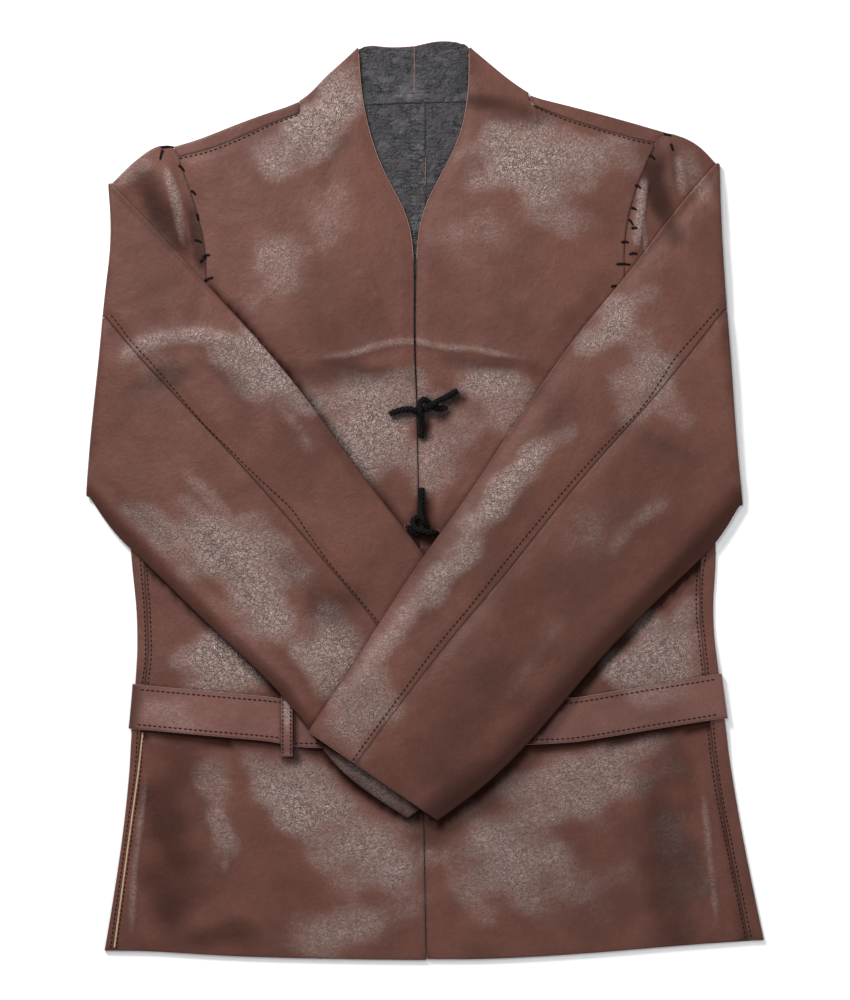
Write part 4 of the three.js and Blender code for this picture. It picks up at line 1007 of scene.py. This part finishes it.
def nudge(node, xy):
    """How far each point is moved on the plan."""
    total = np.zeros_like(xy)
    for row in NUDGES:
        if row.node == node:
            away = np.hypot(*(xy - (row.x, row.y)).T) / row.reach
            total += ease(1.3 - 1.3 * away)[:, None] * (row.dx, row.dy)
    return total


def near_creases(xy, creases):
    """Which points lie in or beside one of the creases."""
    near = np.zeros(len(xy), bool)
    for crease in creases:
        away, _ = beside_line(xy, smooth_line(crease.line, 2 * CREASE_STEP))
        near |= np.abs(away) < CREASE_FINE * max(crease.near, crease.far)
    return near


def finer_wall(panel, wall, creases):
    """The wall with faces small enough for its creases, and its cut edges rounded."""
    fine = subdivided(panel.node, *wall, panel.levels)
    bm = bmesh.new()
    bm.from_mesh(fine)
    if panel.faces != "down":
        halve_near(bm, lambda middles: np.ones(len(middles), bool))
    sharp = [c for c in creases if min(c.near, c.far) < SHARP_CREASE]
    if sharp:
        halve_near(bm, lambda middles: near_creases(middles[:, :2], sharp))
    round_edges(bm)
    bm.to_mesh(fine)
    bm.free()
    fine.update()
    return fine


def cover_shares(name, co, upper):
    """How free each point is of what lies over it, and how deep in its shadow, from 0 to 1."""
    if name not in COVERS:
        return np.ones(len(co)), np.zeros(len(co))
    xy = co[:, :2]
    covered = covered_points(name, co, np.ones(len(co)) if name in ("back", "collar") else upper)
    bare = ease(cover_distance(covered, xy) / COVER_FADE)
    shadow = 1 - ease(cover_distance(covered, xy, SHADOW_SHIFT.get(name, (0, 0))) / SHADOW_REACH[name])
    if name == "back":
        shadow *= 1 - upper
    if name == "front":
        shadow *= ease((CAP_FOOT_Y - xy[:, 1]) / COVER_FADE)
    return bare, shadow


def swell_height(name, xy, rim, bare):
    """The soft swells, kept down at cut edges, and a sleeve's fuller middle."""
    if name not in SWELL:
        return 0
    own_phase = 1 + 0.3 * len(name)
    swell = SWELL[name] * swell_share(xy, own_phase) * ease(rim / RIM_FADE)
    if name in PUFF:
        edge = np.minimum(*sleeve_edge_distances(name, xy))
        swell = swell * ease(edge / EDGE_FADE) + PUFF[name] * ease(edge / PUFF_WIDTH)
    return swell if name == "belt" else swell * bare


def dress_panel(panel, wall, materials):
    """One cloth node, finer and creased, with its materials."""
    name = family(panel.node)
    creases = CREASES.get(name, [])
    fine = finer_wall(panel, wall, creases)
    co = mesh_arrays(fine)
    xy = co[:, :2].copy()
    upper = upper_share(fine, co)
    rim = rim_distance(fine, co)
    bare, shadow = cover_shares(name, co, upper)
    crease = sum((crease_height(xy, c) for c in creases), np.zeros(len(co)))
    share = np.where(upper > 0.5, 0.0, 1.0) if name == "back" else upper
    co[:, 2] += (crease + swell_height(name, xy, rim, bare)) * share
    co[:, :2] += nudge(panel.node, xy)
    fine.vertices.foreach_set("co", to_frame(co).ravel())
    # Painted highlight on the crests of the creases, and painted shade in their troughs.
    crest = CREST_SHEEN * np.clip(crease / CREST_FULL, 0, 1)
    values = {
        "sheen": np.maximum(patches_at(SHEEN.get(name, []), xy), crest),
        "dark": np.maximum(patches_at(DARK.get(name, []), xy), painted_edge_shade(name, xy)),
        "trough_shade": np.clip(-crease / SHADE_FULL_DEPTH, 0, 1) * share,
        "shadow": shadow,
        "rim": rim,
    }
    for key, value in values.items():
        set_values(fine, key, value)
    fine.polygons.foreach_set("use_smooth", [True] * len(fine.polygons))
    fine.set_sharp_from_angle(angle=SMOOTH_ANGLE)
    inner = "cuff_flesh" if name.startswith("sleeve") else "flesh"
    for side, key in enumerate((panel.material, inner, "raw", "sewn")):
        fine.materials[side] = materials[key]
    fine.update()
    obj = object_of(panel.node + "_cloth", fine)
    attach(obj, "root")
    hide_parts(panel.node)
    return obj


# The long edges of each sleeve on the plan, from the fold to the cuff.
SLEEVE_EDGES = {
    "sleeve_right": ([(-290, 289), (-157.8, 154.2), (-41.7, 4.6), (32.3, -98), (101.2, -204.2)],
                     [(-311, 3.7), (-225.2, -87), (-134.1, -173.9), (-83.1, -240.7), (-15.9, -290.7)]),
    "sleeve_left": ([(271.9, 308.2), (146.9, 161.6), (38, 2.2), (-35.9, -103), (-106.2, -210.3)],
                    [(293.5, -4.6), (212, -93.3), (129.4, -181.8), (75.4, -241.8), (12.8, -292.2)]),
}


def sleeve_edge_distances(name, xy):
    return [np.abs(beside_line(xy, np.array(line, float))[0]) for line in SLEEVE_EDGES[name]]


# ---------------------------------------------------------------- what lies on the panels


class Surface:
    """The panels that something lies on, asked for their height from above."""

    def __init__(self, objects):
        self.trees = [tree_of(o.data) for o in objects]

    def at(self, x, y):
        """The point (on the plan) and the upward normal at x, y, or None."""
        start = Vector(to_frame([x, y, 100.0]))
        way = Vector((0, 0, -1))
        hits = [tree.ray_cast(start, way, 1.0) for tree in self.trees]
        hits = [h for h in hits if h[0] is not None]
        if not hits:
            return None
        place, normal, _, _ = min(hits, key=lambda h: h[3])
        if normal.dot(way) > 0:
            normal = -normal
        return np.array(place) / MM - SHIFT, np.array(normal)


UPWARDS = np.array([0.013, 0.017, 1.0])     # never quite along a tube
TUBE_SIDES = 6
WHIP_SIDES = 8


def tube_rings(points, radii, sides, up):
    """Rings of points round a line, and the faces between them."""
    p = np.asarray(points, float)
    tangent = np.gradient(p, axis=0)
    verts = []
    angles = 2 * math.pi * np.arange(sides) / sides
    for centre, t, r in zip(p, tangent, radii):
        across = unit(np.cross(t, up))
        normal = unit(np.cross(across, t))
        verts.append(centre + r * (np.outer(np.cos(angles), across) + np.outer(np.sin(angles), normal)))
    faces = []
    for i in range(len(p) - 1):
        for k in range(sides):
            a, b = i * sides + k, i * sides + (k + 1) % sides
            faces.append((a, a + sides, b + sides, b))
    faces.append(tuple(range(sides)))
    last = (len(p) - 1) * sides
    faces.append(tuple(last + k for k in reversed(range(sides))))
    return np.vstack(verts), faces


def laid_piece(name, verts, faces, material):
    """A piece of its own from points on the plan."""
    mesh = bpy.data.meshes.new(name)
    mesh.from_pydata([tuple(v) for v in to_frame(verts)], [], faces)
    mesh.polygons.foreach_set("use_smooth", [True] * len(mesh.polygons))
    mesh.materials.append(material)
    obj = object_of(name, mesh)
    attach(obj, "root")
    return obj


def tubes(name, runs, sides, material):
    """One piece from many short tubes. A run is (points on the plan, radii, up)."""
    verts, faces = [], []
    count = 0
    for points, radii, up in runs:
        ring_points, ring_faces = tube_rings(points, radii, sides, up)
        verts.append(ring_points)
        faces += [tuple(i + count for i in f) for f in ring_faces]
        count += len(ring_points)
    return laid_piece(name, np.vstack(verts), faces, material)


# A ribbon's cross-section: share of the half width, and share of the thickness.
RIBBON = table("across rise", [
    (-1.0, -0.2), (-1.0, 0.6), (-0.9, 1.0), (-0.66, 1.0), (0.0, 1.05),
    (0.66, 1.0), (0.9, 1.0), (1.0, 0.6), (1.0, -0.2),
])
RIBBON_STEP = 1.0
WIRE_STEP = 1.5
RIBBON_FEELERS = (-1.2, 0.0, 1.2)       # where across it the surface below is felt for
RIBBON_ANGLE = math.radians(50)


def ribbon(name, surface, line, width, thick, material, pucker=0.0, pitch=3.0):
    """A narrow strip of hide that follows a line on a surface, puckered at a pitch of so many steps."""
    places, ways = along_line(smooth_line(line, RIBBON_STEP), 0, RIBBON_STEP)
    verts, faces, dark = [], [], []
    for k, ((x, y), (dx, dy)) in enumerate(zip(places, ways)):
        hits = [surface.at(x - dy * off, y + dx * off) for off in RIBBON_FEELERS]
        base = max([hit[0][2] for hit in hits if hit] or [LEATHER])
        turn = 2 * math.pi * k / pitch
        wave = pucker * (0.6 * math.sin(turn) + 0.4 * math.sin(turn / 1.7 + 1))
        for r in RIBBON:
            off = r.across * width / 2
            z = base + r.rise * thick + (wave * (0.4 + 0.6 * abs(r.across)) if r.rise > 0 else 0)
            verts.append((x - dy * off, y + dx * off, z))
            # Painted shade: dark is 1 along the strip's edges and rises in the troughs of its puckers.
            dark.append(max(float(abs(r.across) > 0.8), -0.7 * wave / pucker if pucker else 0.0))
    size = len(RIBBON)
    for i in range(len(places) - 1):
        for k in range(size):
            a, b = i * size + k, i * size + (k + 1) % size
            faces.append((a, b, b + size, a + size))
    last = (len(places) - 1) * size
    faces += [tuple(reversed(range(size))), tuple(last + k for k in range(size))]
    mesh = laid_piece(name, verts, faces, material).data
    mesh.set_sharp_from_angle(angle=RIBBON_ANGLE)
    set_values(mesh, "dark", dark)


def wire(name, surface, line, radius, material, lift):
    """A thread along a line on a surface."""
    points = []
    for x, y in smooth_line(line, WIRE_STEP):
        hit = surface.at(x, y)
        points.append((x, y, (hit[0][2] if hit else LEATHER) + lift))
    tubes(name, [(points, [radius] * len(points), UPWARDS)], TUBE_SIDES, material)


NECK_BAND = [(-88, 366.6), (-77.3, 367), (-45, 369), (-9, 370.4), (42.3, 371.6), (68, 372)]
BACK_BAND = [(-5.2, 365), (-5.2, 330), (-4.9, 290), (-4.6, 246)]
ALLOWANCE = 0.7
BANDS = table("name line width thick pucker pitch", [
    ("back_seam_allowance", BACK_BAND, 13.5, ALLOWANCE, 0.4, 3.4),
    ("neck_seam_allowance", NECK_BAND, 9.5, ALLOWANCE + 0.25, 0.12, 9.0),
])
EDGE_RADIUS = 0.42          # of the raw edge round the neck
BACK_EDGE = [(1.5, 316), (1.3, 302), (1.0, 290)]
COLLAR_SEAM = [(-9, 418.2), (-9, 400), (-9, 374.5)]
SIDE_EDGE_RIGHT = [(-258.2, -213), (-262.4, -247.9), (-268.6, -292.6), (-275.2, -341), (-284.6, -411)]
NECKLINE_BOX = ((-64, 205), (48, 412))
NECKLINE_STEP = 1.2
COLLAR_TOP = {
    "right": [(-9.6, 417.9), (-26.1, 416.9), (-37.2, 417.3), (-47.4, 418.5), (-54, 417.6)],
    "left": [(-8.4, 417.9), (-0.2, 420), (12, 422.2), (28, 421.9), (35.4, 419.6)],
}


def neckline_of(obj):
    """The raw edge of a front round the neck, from the foot of the opening to the collar."""
    sides = {}
    for polygon in obj.data.polygons:
        for v in polygon.vertices:
            sides.setdefault(v, set()).add(polygon.material_index)
    rim = (mesh_arrays(obj.data) / MM - SHIFT)[[v for v, s in sides.items() if {OUTSIDE, RAW_EDGE} <= s]]
    low, high = NECKLINE_BOX
    rim = sorted((p for p in rim if np.all(p[:2] > low) and np.all(p[:2] < high)), key=lambda p: p[1])
    line = [rim[0]]
    for p in rim:
        if p[1] - line[-1][1] > NECKLINE_STEP and abs(p[0] - line[-1][0]) < 6 * NECKLINE_STEP:
            line.append(p)
    return line


def neck_and_edges(cloth, materials):
    """The seam allowances that show inside the neck, and the raw edge along one side seam."""
    inside = Surface([cloth[f"{name}_{half}"] for name in ("back", "collar_back") for half in HALVES])
    raw, allowance = materials["raw"], materials["allowance"]
    for name, line, width, thick, pucker, pitch in BANDS:
        ribbon(name, inside, line, width, thick, allowance, pucker, pitch)
    wire("collar_seam_edge", inside, COLLAR_SEAM, 0.34, raw, -0.1)
    for half in HALVES:
        line = neckline_of(cloth[f"front_{half}"])
        run = (line, [EDGE_RADIUS] * len(line), UPWARDS)
        tubes(f"neckline_edge_{half}", [run], TUBE_SIDES, raw)
        wire(f"collar_top_edge_{half}", inside, COLLAR_TOP[half], 0.4, raw, -0.2)
    wire("back_seam_edge", inside, BACK_EDGE, 0.36, raw, ALLOWANCE + 0.1)
    side = Surface([cloth["front_right"], cloth["back_right"]])
    ribbon("side_seam_edge", side, SIDE_EDGE_RIGHT, 1.5, 0.55, materials["cream"])


# A stitch: how far along it each ring is, how high above the hide, and how thick.
STITCH = table("along lift radius", [
    (-0.5, -0.45, 0.32), (-0.34, 0.1, 0.52), (0.0, 0.26, 0.58), (0.34, 0.1, 0.52), (0.5, -0.45, 0.32),
])
SEAM_STEP = 4.0


def offset_line(line, offset):
    """The line moved to its left by offset."""
    if not offset:
        return line
    d = np.gradient(line, axis=0)
    d /= np.linalg.norm(d, axis=1)[:, None]
    return line + offset * np.column_stack([-d[:, 1], d[:, 0]])


def along_line(line, start, step):
    """Places every step along a line, each with its direction."""
    lengths = np.linalg.norm(np.diff(line, axis=0), axis=1)
    before = np.concatenate([[0], np.cumsum(lengths)])
    where = np.arange(start, before[-1] - start, step)
    places = [np.interp(where, before, line[:, k]) for k in (0, 1)]
    k = np.clip(np.searchsorted(before, where) - 1, 0, len(lengths) - 1)
    return np.column_stack(places), np.diff(line, axis=0)[k] / lengths[k][:, None]


def stitch_runs(surface, line, offset, length, pitch):
    runs = []
    places, ways = along_line(offset_line(smooth_line(line, SEAM_STEP), offset), pitch / 2, pitch)
    for (x, y), way in zip(places, ways):
        hit = surface.at(x, y)
        if hit is None:
            continue
        centre, normal = hit
        tangent = unit(np.array([*way, 0.0]) - normal * np.dot([*way, 0.0], normal))
        points = [centre + tangent * s.along * length + normal * s.lift for s in STITCH]
        runs.append((points, [s.radius for s in STITCH], normal))
    return runs


SHOULDER_SEAM = {
    "right": [(-116, 356), (-142, 346.6), (-169, 334), (-199, 322.4), (-226, 316)],
    "left": [(102, 363.4), (132.5, 351), (161.5, 342.2), (190.4, 333.6), (212.5, 329)],
}
SIDE_SEAM = {
    "right": [(-285.5, -412), (-275.6, -341), (-269, -292.6), (-262.8, -247.9), (-260.4, -211.1),
              (-255.8, -166.5), (-253.1, -139.4), (-254.6, -97.2), (-257, -67.6), (-258.4, -42.3),
              (-259.6, 40)],
    "left": [(298.2, -402), (286.4, -345.6), (278, -304.5), (271.4, -271.4), (266, -234.6), (262.4, -200.6),
             (258.2, -156.4), (255.4, -128.8), (252.6, -97.2), (253.6, -65.3), (256, -40.1), (247, 40)],
}
ELBOW_SEAM = {
    "right": [(-290.7, 168.4), (-282.4, 158.2), (-272.3, 144.7), (-251.2, 121.4), (-228.2, 94.8),
              (-204.6, 67.2), (-181.2, 44.3), (-155.9, 19.3), (-126.4, -8.3), (-114.1, -25.4),
              (-95.7, -52.1), (-77.3, -75), (-60.7, -94.8), (-44.6, -114.6), (-14, -158), (18, -206),
              (52, -244)],
    "left": [(273.2, 173.9), (257.6, 156.4), (242.3, 138.9), (232.6, 127.3), (222.6, 111.8), (211.3, 94.4),
             (199.6, 79.1), (187.7, 67.2), (170.2, 49.7), (138.4, 14.7), (106.7, -23), (80.8, -54.3),
             (44.2, -100.3), (12.6, -138), (-19.3, -181), (-50.7, -223.6), (-63, -241)],
}
BELT_LINE = [(-262, -189), (-200, -194.6), (-133.4, -200.6), (-119.6, -205.2), (-96.6, -206.1), (0, -206.1),
             (101.2, -202.9), (139.8, -200.7), (201.5, -190.4), (242.9, -183.8), (270, -179.4)]
BELT_HALF = 20.5
BELT_STITCH_INSET = 4.4
LOOP_X, LOOP_HALF = -125.8, 5.4
LOOP_RUN = (-232.5, -176)
LOOP_STITCH_INSET = 1.9

# Machine stitches: how far to the side of the line, how long each is, and how far apart.
MACHINE = {
    "shoulder": (1.6, 3.0, 4.7),
    "side": (2.6, 2.8, 4.3),
    "elbow": (4.2, 3.0, 4.6),
    "belt": (BELT_HALF - BELT_STITCH_INSET, 3.2, 4.7),
    "loop": (LOOP_HALF - LOOP_STITCH_INSET, 2.4, 3.7),
}


def sew(cloth, materials):
    """The machine stitching, a piece for each seam."""

    def row(name, seam, pieces, line, signs):
        surface = Surface([cloth[p] for p in pieces])
        offset, length, pitch = MACHINE[seam]
        runs = []
        for sign in signs:
            runs += stitch_runs(surface, line, sign * offset, length, pitch)
        tubes(name, runs, TUBE_SIDES, materials["thread"])

    for half, inward in zip(HALVES, (1, -1)):
        body = [f"front_{half}", f"back_{half}"]
        sleeve = [f"sleeve_{half}_top", f"sleeve_{half}_under"]
        row(f"stitches_shoulder_{half}", "shoulder", body, SHOULDER_SEAM[half], [inward])
        row(f"stitches_side_{half}", "side", body, SIDE_SEAM[half], [1, -1])
        row(f"stitches_elbow_{half}", "elbow", sleeve, ELBOW_SEAM[half], [inward])
    row("stitches_belt", "belt", ["belt"], BELT_LINE, [1, -1])
    row("stitches_loop", "loop", ["belt_loop"], [(LOOP_X, y) for y in LOOP_RUN], [1, -1])


# Hand stitches in thick black thread over the armhole seams, from end to end. Those below y 190 are
# under the sleeves.
WHIPS = {
    "right": table("x0 y0 x1 y1", [
        (-242, 324.6, -229, 325), (-240, 322.5, -242.4, 313), (-225.4, 308.4, -220, 302.6),
        (-214, 285, -209.6, 281), (-208.6, 263.5, -207.4, 257.5), (-210.6, 239.6, -204, 237.2),
        (-205.6, 219, -199.6, 225), (-203, 224.4, -196.6, 226), (-202.4, 201.6, -193.4, 205.4),
        (-203, 180, -195, 184), (-218, 140, -209, 143), (-236, 104, -226, 106),
    ]),
    "left": table("x0 y0 x1 y1", [
        (220.6, 336.6, 227, 335), (226.4, 327.6, 228.4, 321.4), (207, 317.4, 212, 313.4),
        (194, 290, 199, 287), (190.4, 269, 195, 267), (188.2, 258.4, 192, 253), (190.6, 250.2, 196, 250.2),
        (181.4, 237.6, 188, 237.2), (188.6, 226.6, 196, 227), (176.4, 217.3, 190, 216.9),
        (172.2, 196.6, 177, 197.4), (178, 170, 187, 168), (196, 130, 205, 128), (214, 98, 223, 96),
    ]),
}
WHIP_RADIUS = 1.15
WHIP_RINGS = 9
WHIP_BOW = 0.7              # how far its middle is out of line
WHIP_LIFT, WHIP_SUNK = 0.35, -0.9
WHIP_TIP = 0.6              # shares of its radius: at its tips,
WHIP_THICK, WHIP_THIN = 1.15, 0.4       # at its first end, and lost along it
COVERED_Y = 190


def whip_stitches(cloth, materials):
    for half in HALVES:
        body = [cloth[f"front_{half}"], cloth[f"back_{half}"]]
        own = Surface(body)
        surface = Surface(body + [cloth[f"sleeve_{half}_top"], cloth[f"sleeve_{half}_under"]])
        runs = []
        for w in WHIPS[half]:
            under = own if max(w.y0, w.y1) < COVERED_Y else surface
            points, radii = [], []
            for k in range(WHIP_RINGS):
                t = k / (WHIP_RINGS - 1)
                x, y = w.x0 + (w.x1 - w.x0) * t, w.y0 + (w.y1 - w.y0) * t + WHIP_BOW * math.sin(math.pi * t)
                hit = under.at(x, y)
                if hit:
                    end = k in (0, WHIP_RINGS - 1)
                    points.append((x, y, hit[0][2] + (WHIP_SUNK if end else WHIP_LIFT)))
                    radii.append(WHIP_RADIUS * (WHIP_TIP if end else WHIP_THICK - WHIP_THIN * t))
            if len(points) > WHIP_RINGS // 2:
                runs.append((points, radii, UPWARDS))
        tubes(f"whip_stitches_{half}", runs, WHIP_SIDES, materials["waxed"])


# ---------------------------------------------------------------- ties

# Each row is a point on the cord, h above the front that it lies on.
TIES = {
    "tie_upper_right": table("x y h", [
        (-31.3, 79.5, 2.85), (-29.2, 80.7, 3), (-25.8, 82.3, 3.1), (-19.3, 83.9, 3.1), (-12.9, 84.2, 3.1),
        (-7.4, 83.3, 3.1), (-2.8, 83, 3.4), (2.2, 84.8, 6.2), (6.9, 87.9, 9.2), (11, 90.6, 8.4),
        (16, 93.3, 5.2), (20.5, 95.5, 3.6), (25.5, 98.4, 3.2), (30.6, 101.4, 3.1),
    ]),
    "tie_upper_left": table("x y h", [
        (20.2, 85.6, 2.85), (18.2, 85.3, 3), (15.2, 85, 3.1), (11, 85.6, 3.1), (6.9, 87.9, 3.1),
        (3.2, 91.6, 4.4), (-0.6, 93, 6.3), (-3.6, 90, 8.4), (-4, 85.6, 9.4), (-3.4, 80.6, 9),
        (-2.8, 75, 5.8), (-2.6, 69.6, 3.5), (-2.6, 64, 3.1), (-2.8, 58.5, 3.1),
    ]),
    "tie_lower_right": table("x y h", [
        (-15.2, -23.5, 2.85), (-13.8, -24.8, 3), (-11.2, -27.2, 3.1), (-7.2, -29.6, 3.1), (-2.6, -30, 3.1),
        (1.2, -27, 3.4), (2, -22.4, 5.6), (-0.6, -18, 9), (-2.8, -12.6, 8.6), (-3.2, -6.8, 5.2),
        (-2.8, -1.6, 3.5), (-2.3, 4.4, 3.1), (-1.9, 12, 3.1),
    ]),
    "tie_lower_left": table("x y h", [
        (12.2, -29.1, 2.6), (10.6, -29.2, 3.6), (8, -29.1, 6), (4.2, -28.6, 8.6), (-0.8, -27.3, 9.6),
        (-6, -25.9, 9.5), (-9.4, -23, 8.2), (-10.2, -19.2, 6.2), (-8.4, -16.2, 4.3), (-4.8, -15.4, 3.1),
        (-1, -16, 3.1),
    ]),
}
CORD_DIAMETER = 5.6
BRAID_PAIRS = 4             # strands that wind each way
BRAID_PITCH = 17.0          # length of cord in which a strand goes round once
STRAND_RADIUS = 0.92
BRAID_WEAVE = 0.3           # how far a strand rises and dips as it goes over and under
BRAID_STEP = 0.55
CORE_SHARE = 0.95           # of the room inside the strands
FREE_END = 0.985            # the cord's cut end is pinched in from here
END_PINCH, START_PINCH = 0.45, 0.25
THIN_PINCH, THIN_STRAND = 0.8, 0.8      # where it is pinched to less than this its strands are thinner
BESIDE_EDGE = (0, 1.5, -1.5)    # where the front's height is felt for, at and beside the gap


def tie_path(route):
    """The cord's centre line, on the front's solid that it lies on."""
    fronts = Surface([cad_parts["front_right"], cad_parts["front_left"]])
    points = []
    for p in route:
        hit = next(h for h in (fronts.at(p.x + dx, p.y) for dx in BESIDE_EDGE) if h)
        points.append((p.x, p.y, hit[0][2] + p.h))
    return smooth_line(points, BRAID_STEP)


def line_frames(path):
    """A steady pair of directions across a line, at each of its points."""
    tangents = np.gradient(path, axis=0)
    tangents /= np.linalg.norm(tangents, axis=1)[:, None]
    across = unit(np.cross(tangents[0], (0, 0, 1.0)))
    frames = []
    for t in tangents:
        across = unit(across - t * np.dot(across, t))
        frames.append((across, np.cross(t, across)))
    return frames


def braided_cord(name, path, material):
    """Strands that wind both ways round a core, with both ends pinched in."""
    steps = np.linalg.norm(np.diff(path, axis=0), axis=1)
    run = np.concatenate([[0], np.cumsum(steps)])
    frames = line_frames(path)
    middle = CORD_DIAMETER / 2 - STRAND_RADIUS - BRAID_WEAVE / 2
    share = run / run[-1]
    at_end, at_start = (ease((s - FREE_END) / (1 - FREE_END)) for s in (share, 1 - share))
    pinch = 1 - END_PINCH * at_end - START_PINCH * at_start
    turn = 2 * math.pi * run / BRAID_PITCH
    runs = []
    for way in (1, -1):
        for k in range(BRAID_PAIRS):
            own = 2 * math.pi * k / BRAID_PAIRS
            weave = way * BRAID_WEAVE * (-1) ** k * np.cos(BRAID_PAIRS * (own + 2 * way * turn) / 2)
            radius = (middle + weave) * pinch
            points = [p + r * (math.cos(a) * u + math.sin(a) * v)
                      for p, r, a, (u, v) in zip(path, radius, own + way * turn, frames)]
            runs.append((points, STRAND_RADIUS * np.where(pinch < THIN_PINCH, THIN_STRAND, 1.0), UPWARDS))
    core = [(path, np.full(len(path), middle * CORE_SHARE) * pinch, UPWARDS)]
    return tubes(name, runs + core, TUBE_SIDES, material)


def make_ties(materials):
    for name, route in TIES.items():
        path = tie_path(route)
        obj = braided_cord(name + "_cord", path, materials["cord"])
        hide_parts(name)
        centre = [tuple(p) for p in to_frame(path)]
        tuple(centre[0])


EYELET_RADIUS, EYELET_WIDTH = 2.9, 0.6
EYELET_STEPS = 24
EYELET_SUNK = 0.25


def eyelets(cloth, materials):
    """The raw rim of the hole that each tie comes through."""
    surface = Surface([cloth["front_right"], cloth["front_left"]])
    upright = np.array([0, 0, 1.0])
    for name, route in TIES.items():
        points = []
        for a in 2 * math.pi * np.arange(EYELET_STEPS + 1) / EYELET_STEPS:
            x, y = route[0].x + EYELET_RADIUS * math.cos(a), route[0].y + EYELET_RADIUS * math.sin(a)
            points.append(surface.at(x, y)[0] - EYELET_SUNK * upright)
        ring = (points, [EYELET_WIDTH / 2] * len(points), upright)
        tubes("hole_" + name, [ring], TUBE_SIDES, materials["raw"])


# ---------------------------------------------------------------- flat cuts

# Width, length and area of each piece as it was cut, in metres and square metres.
CUTS = table("node width length area held", [
    ("back_right", 0.309, 0.806, 0.199, "laid"),
    ("back_left", 0.336, 0.806, 0.2046, "laid"),
    ("front_right", 0.29, 0.846, 0.1853, "laid"),
    ("front_left", 0.309, 0.842, 0.1876, "laid"),
    ("collar_back_right", 0.0965, 0.0525, 0.0035, "laid"),
    ("collar_back_left", 0.0965, 0.0525, 0.0032, "laid"),
    ("sleeve_right_top", 0.33, 0.70, 0.165, "folded"),
    ("sleeve_right_under", 0.19, 0.60, 0.0743, "folded"),
    ("sleeve_left_top", 0.33, 0.70, 0.1655, "folded"),
    ("sleeve_left_under", 0.19, 0.60, 0.0755, "folded"),
    ("belt", 0.041, 1.155, None, "laid"),
    ("belt_loop", 0.0108, 0.062, None, "laid"),
])


# ---------------------------------------------------------------- all of it


# Screen colours of the hides' grain sides, of the flesh sides and of what is plainly speckled, with the
# specks' size and relief in millimetres.
# The last colour is that of the shiny places, partly wear and partly a painted highlight; deep colours the
# darker places, partly dye and partly painted shade.
HIDES = table("key name depth deep dark mid worn", [
    ("hide", "brown_hide", 1.0, (42, 20, 15), (62, 34, 27), (99, 62, 52), (176, 153, 144)),
    ("belt_hide", "belt_hide", 0.5, (40, 20, 16), (76, 45, 39), (113, 76, 69), (168, 140, 132)),
])
FLESHES = table("key name low high bright", [
    ("flesh", "flesh_side", (19, 15, 18), (37, 32, 37), (74, 70, 80)),
    ("cuff_flesh", "cuff_flesh", (15, 10, 8), (31, 22, 19), (58, 46, 41)),
    ("allowance", "flesh_allowance", (26, 22, 25), (52, 48, 53), (88, 85, 93)),
])
SPECKLED = table("key name low high size roughness depth", [
    ("raw", "raw_edge", (110, 80, 70), (158, 124, 110), 0.6, 0.8, 0.05),
    ("cream", "cream_edge", (150, 118, 92), (198, 168, 138), 0.7, 0.8, 0.05),
    # The cut faces inside a seam are painted nearly black as shade.
    ("sewn", "seam_inside", (20, 10, 8), (34, 20, 17), 0.8, 0.8, 0.05),
    ("thread", "brown_thread", (22, 8, 6), (50, 26, 20), 0.4, 0.6, 0.05),
    ("waxed", "waxed_black_thread", (5, 4, 4), (17, 14, 14), 0.5, 0.6, 0.05),
    ("cord", "black_cord", (5, 5, 6), (22, 21, 23), 0.45, 0.6, 0.12),
])


def make_materials():
    groups = make_groups()
    made = {}
    for m in HIDES:
        colours = [srgb(*c) for c in (m.deep, m.dark, m.mid, m.worn)]
        made[m.key] = hide_material(m.name, groups, *colours, m.depth)
    for m in FLESHES:
        colours = [srgb(*c) for c in (m.low, m.high, m.bright)]
        made[m.key] = flesh_material(m.name, groups, *colours)
    for m in SPECKLED:
        colours = [srgb(*c) for c in (m.low, m.high)]
        made[m.key] = speckled_material(m.name, groups, *colours, m.size, m.roughness, m.depth)
    return made


def build():
    make_camera()
    materials = make_materials()
    make_ties(materials)
    make_floor()
    make_lights()
    walls = {panel.node: wall_squares(panel) for panel in PANELS}
    mark_sewn(walls)
    cloth = {panel.node: dress_panel(panel, walls[panel.node], materials) for panel in PANELS}
    bpy.context.view_layer.update()
    neck_and_edges(cloth, materials)
    eyelets(cloth, materials)
    sew(cloth, materials)
    whip_stitches(cloth, materials)


bpy.context.scene.view_settings.view_transform = "Standard"
build()
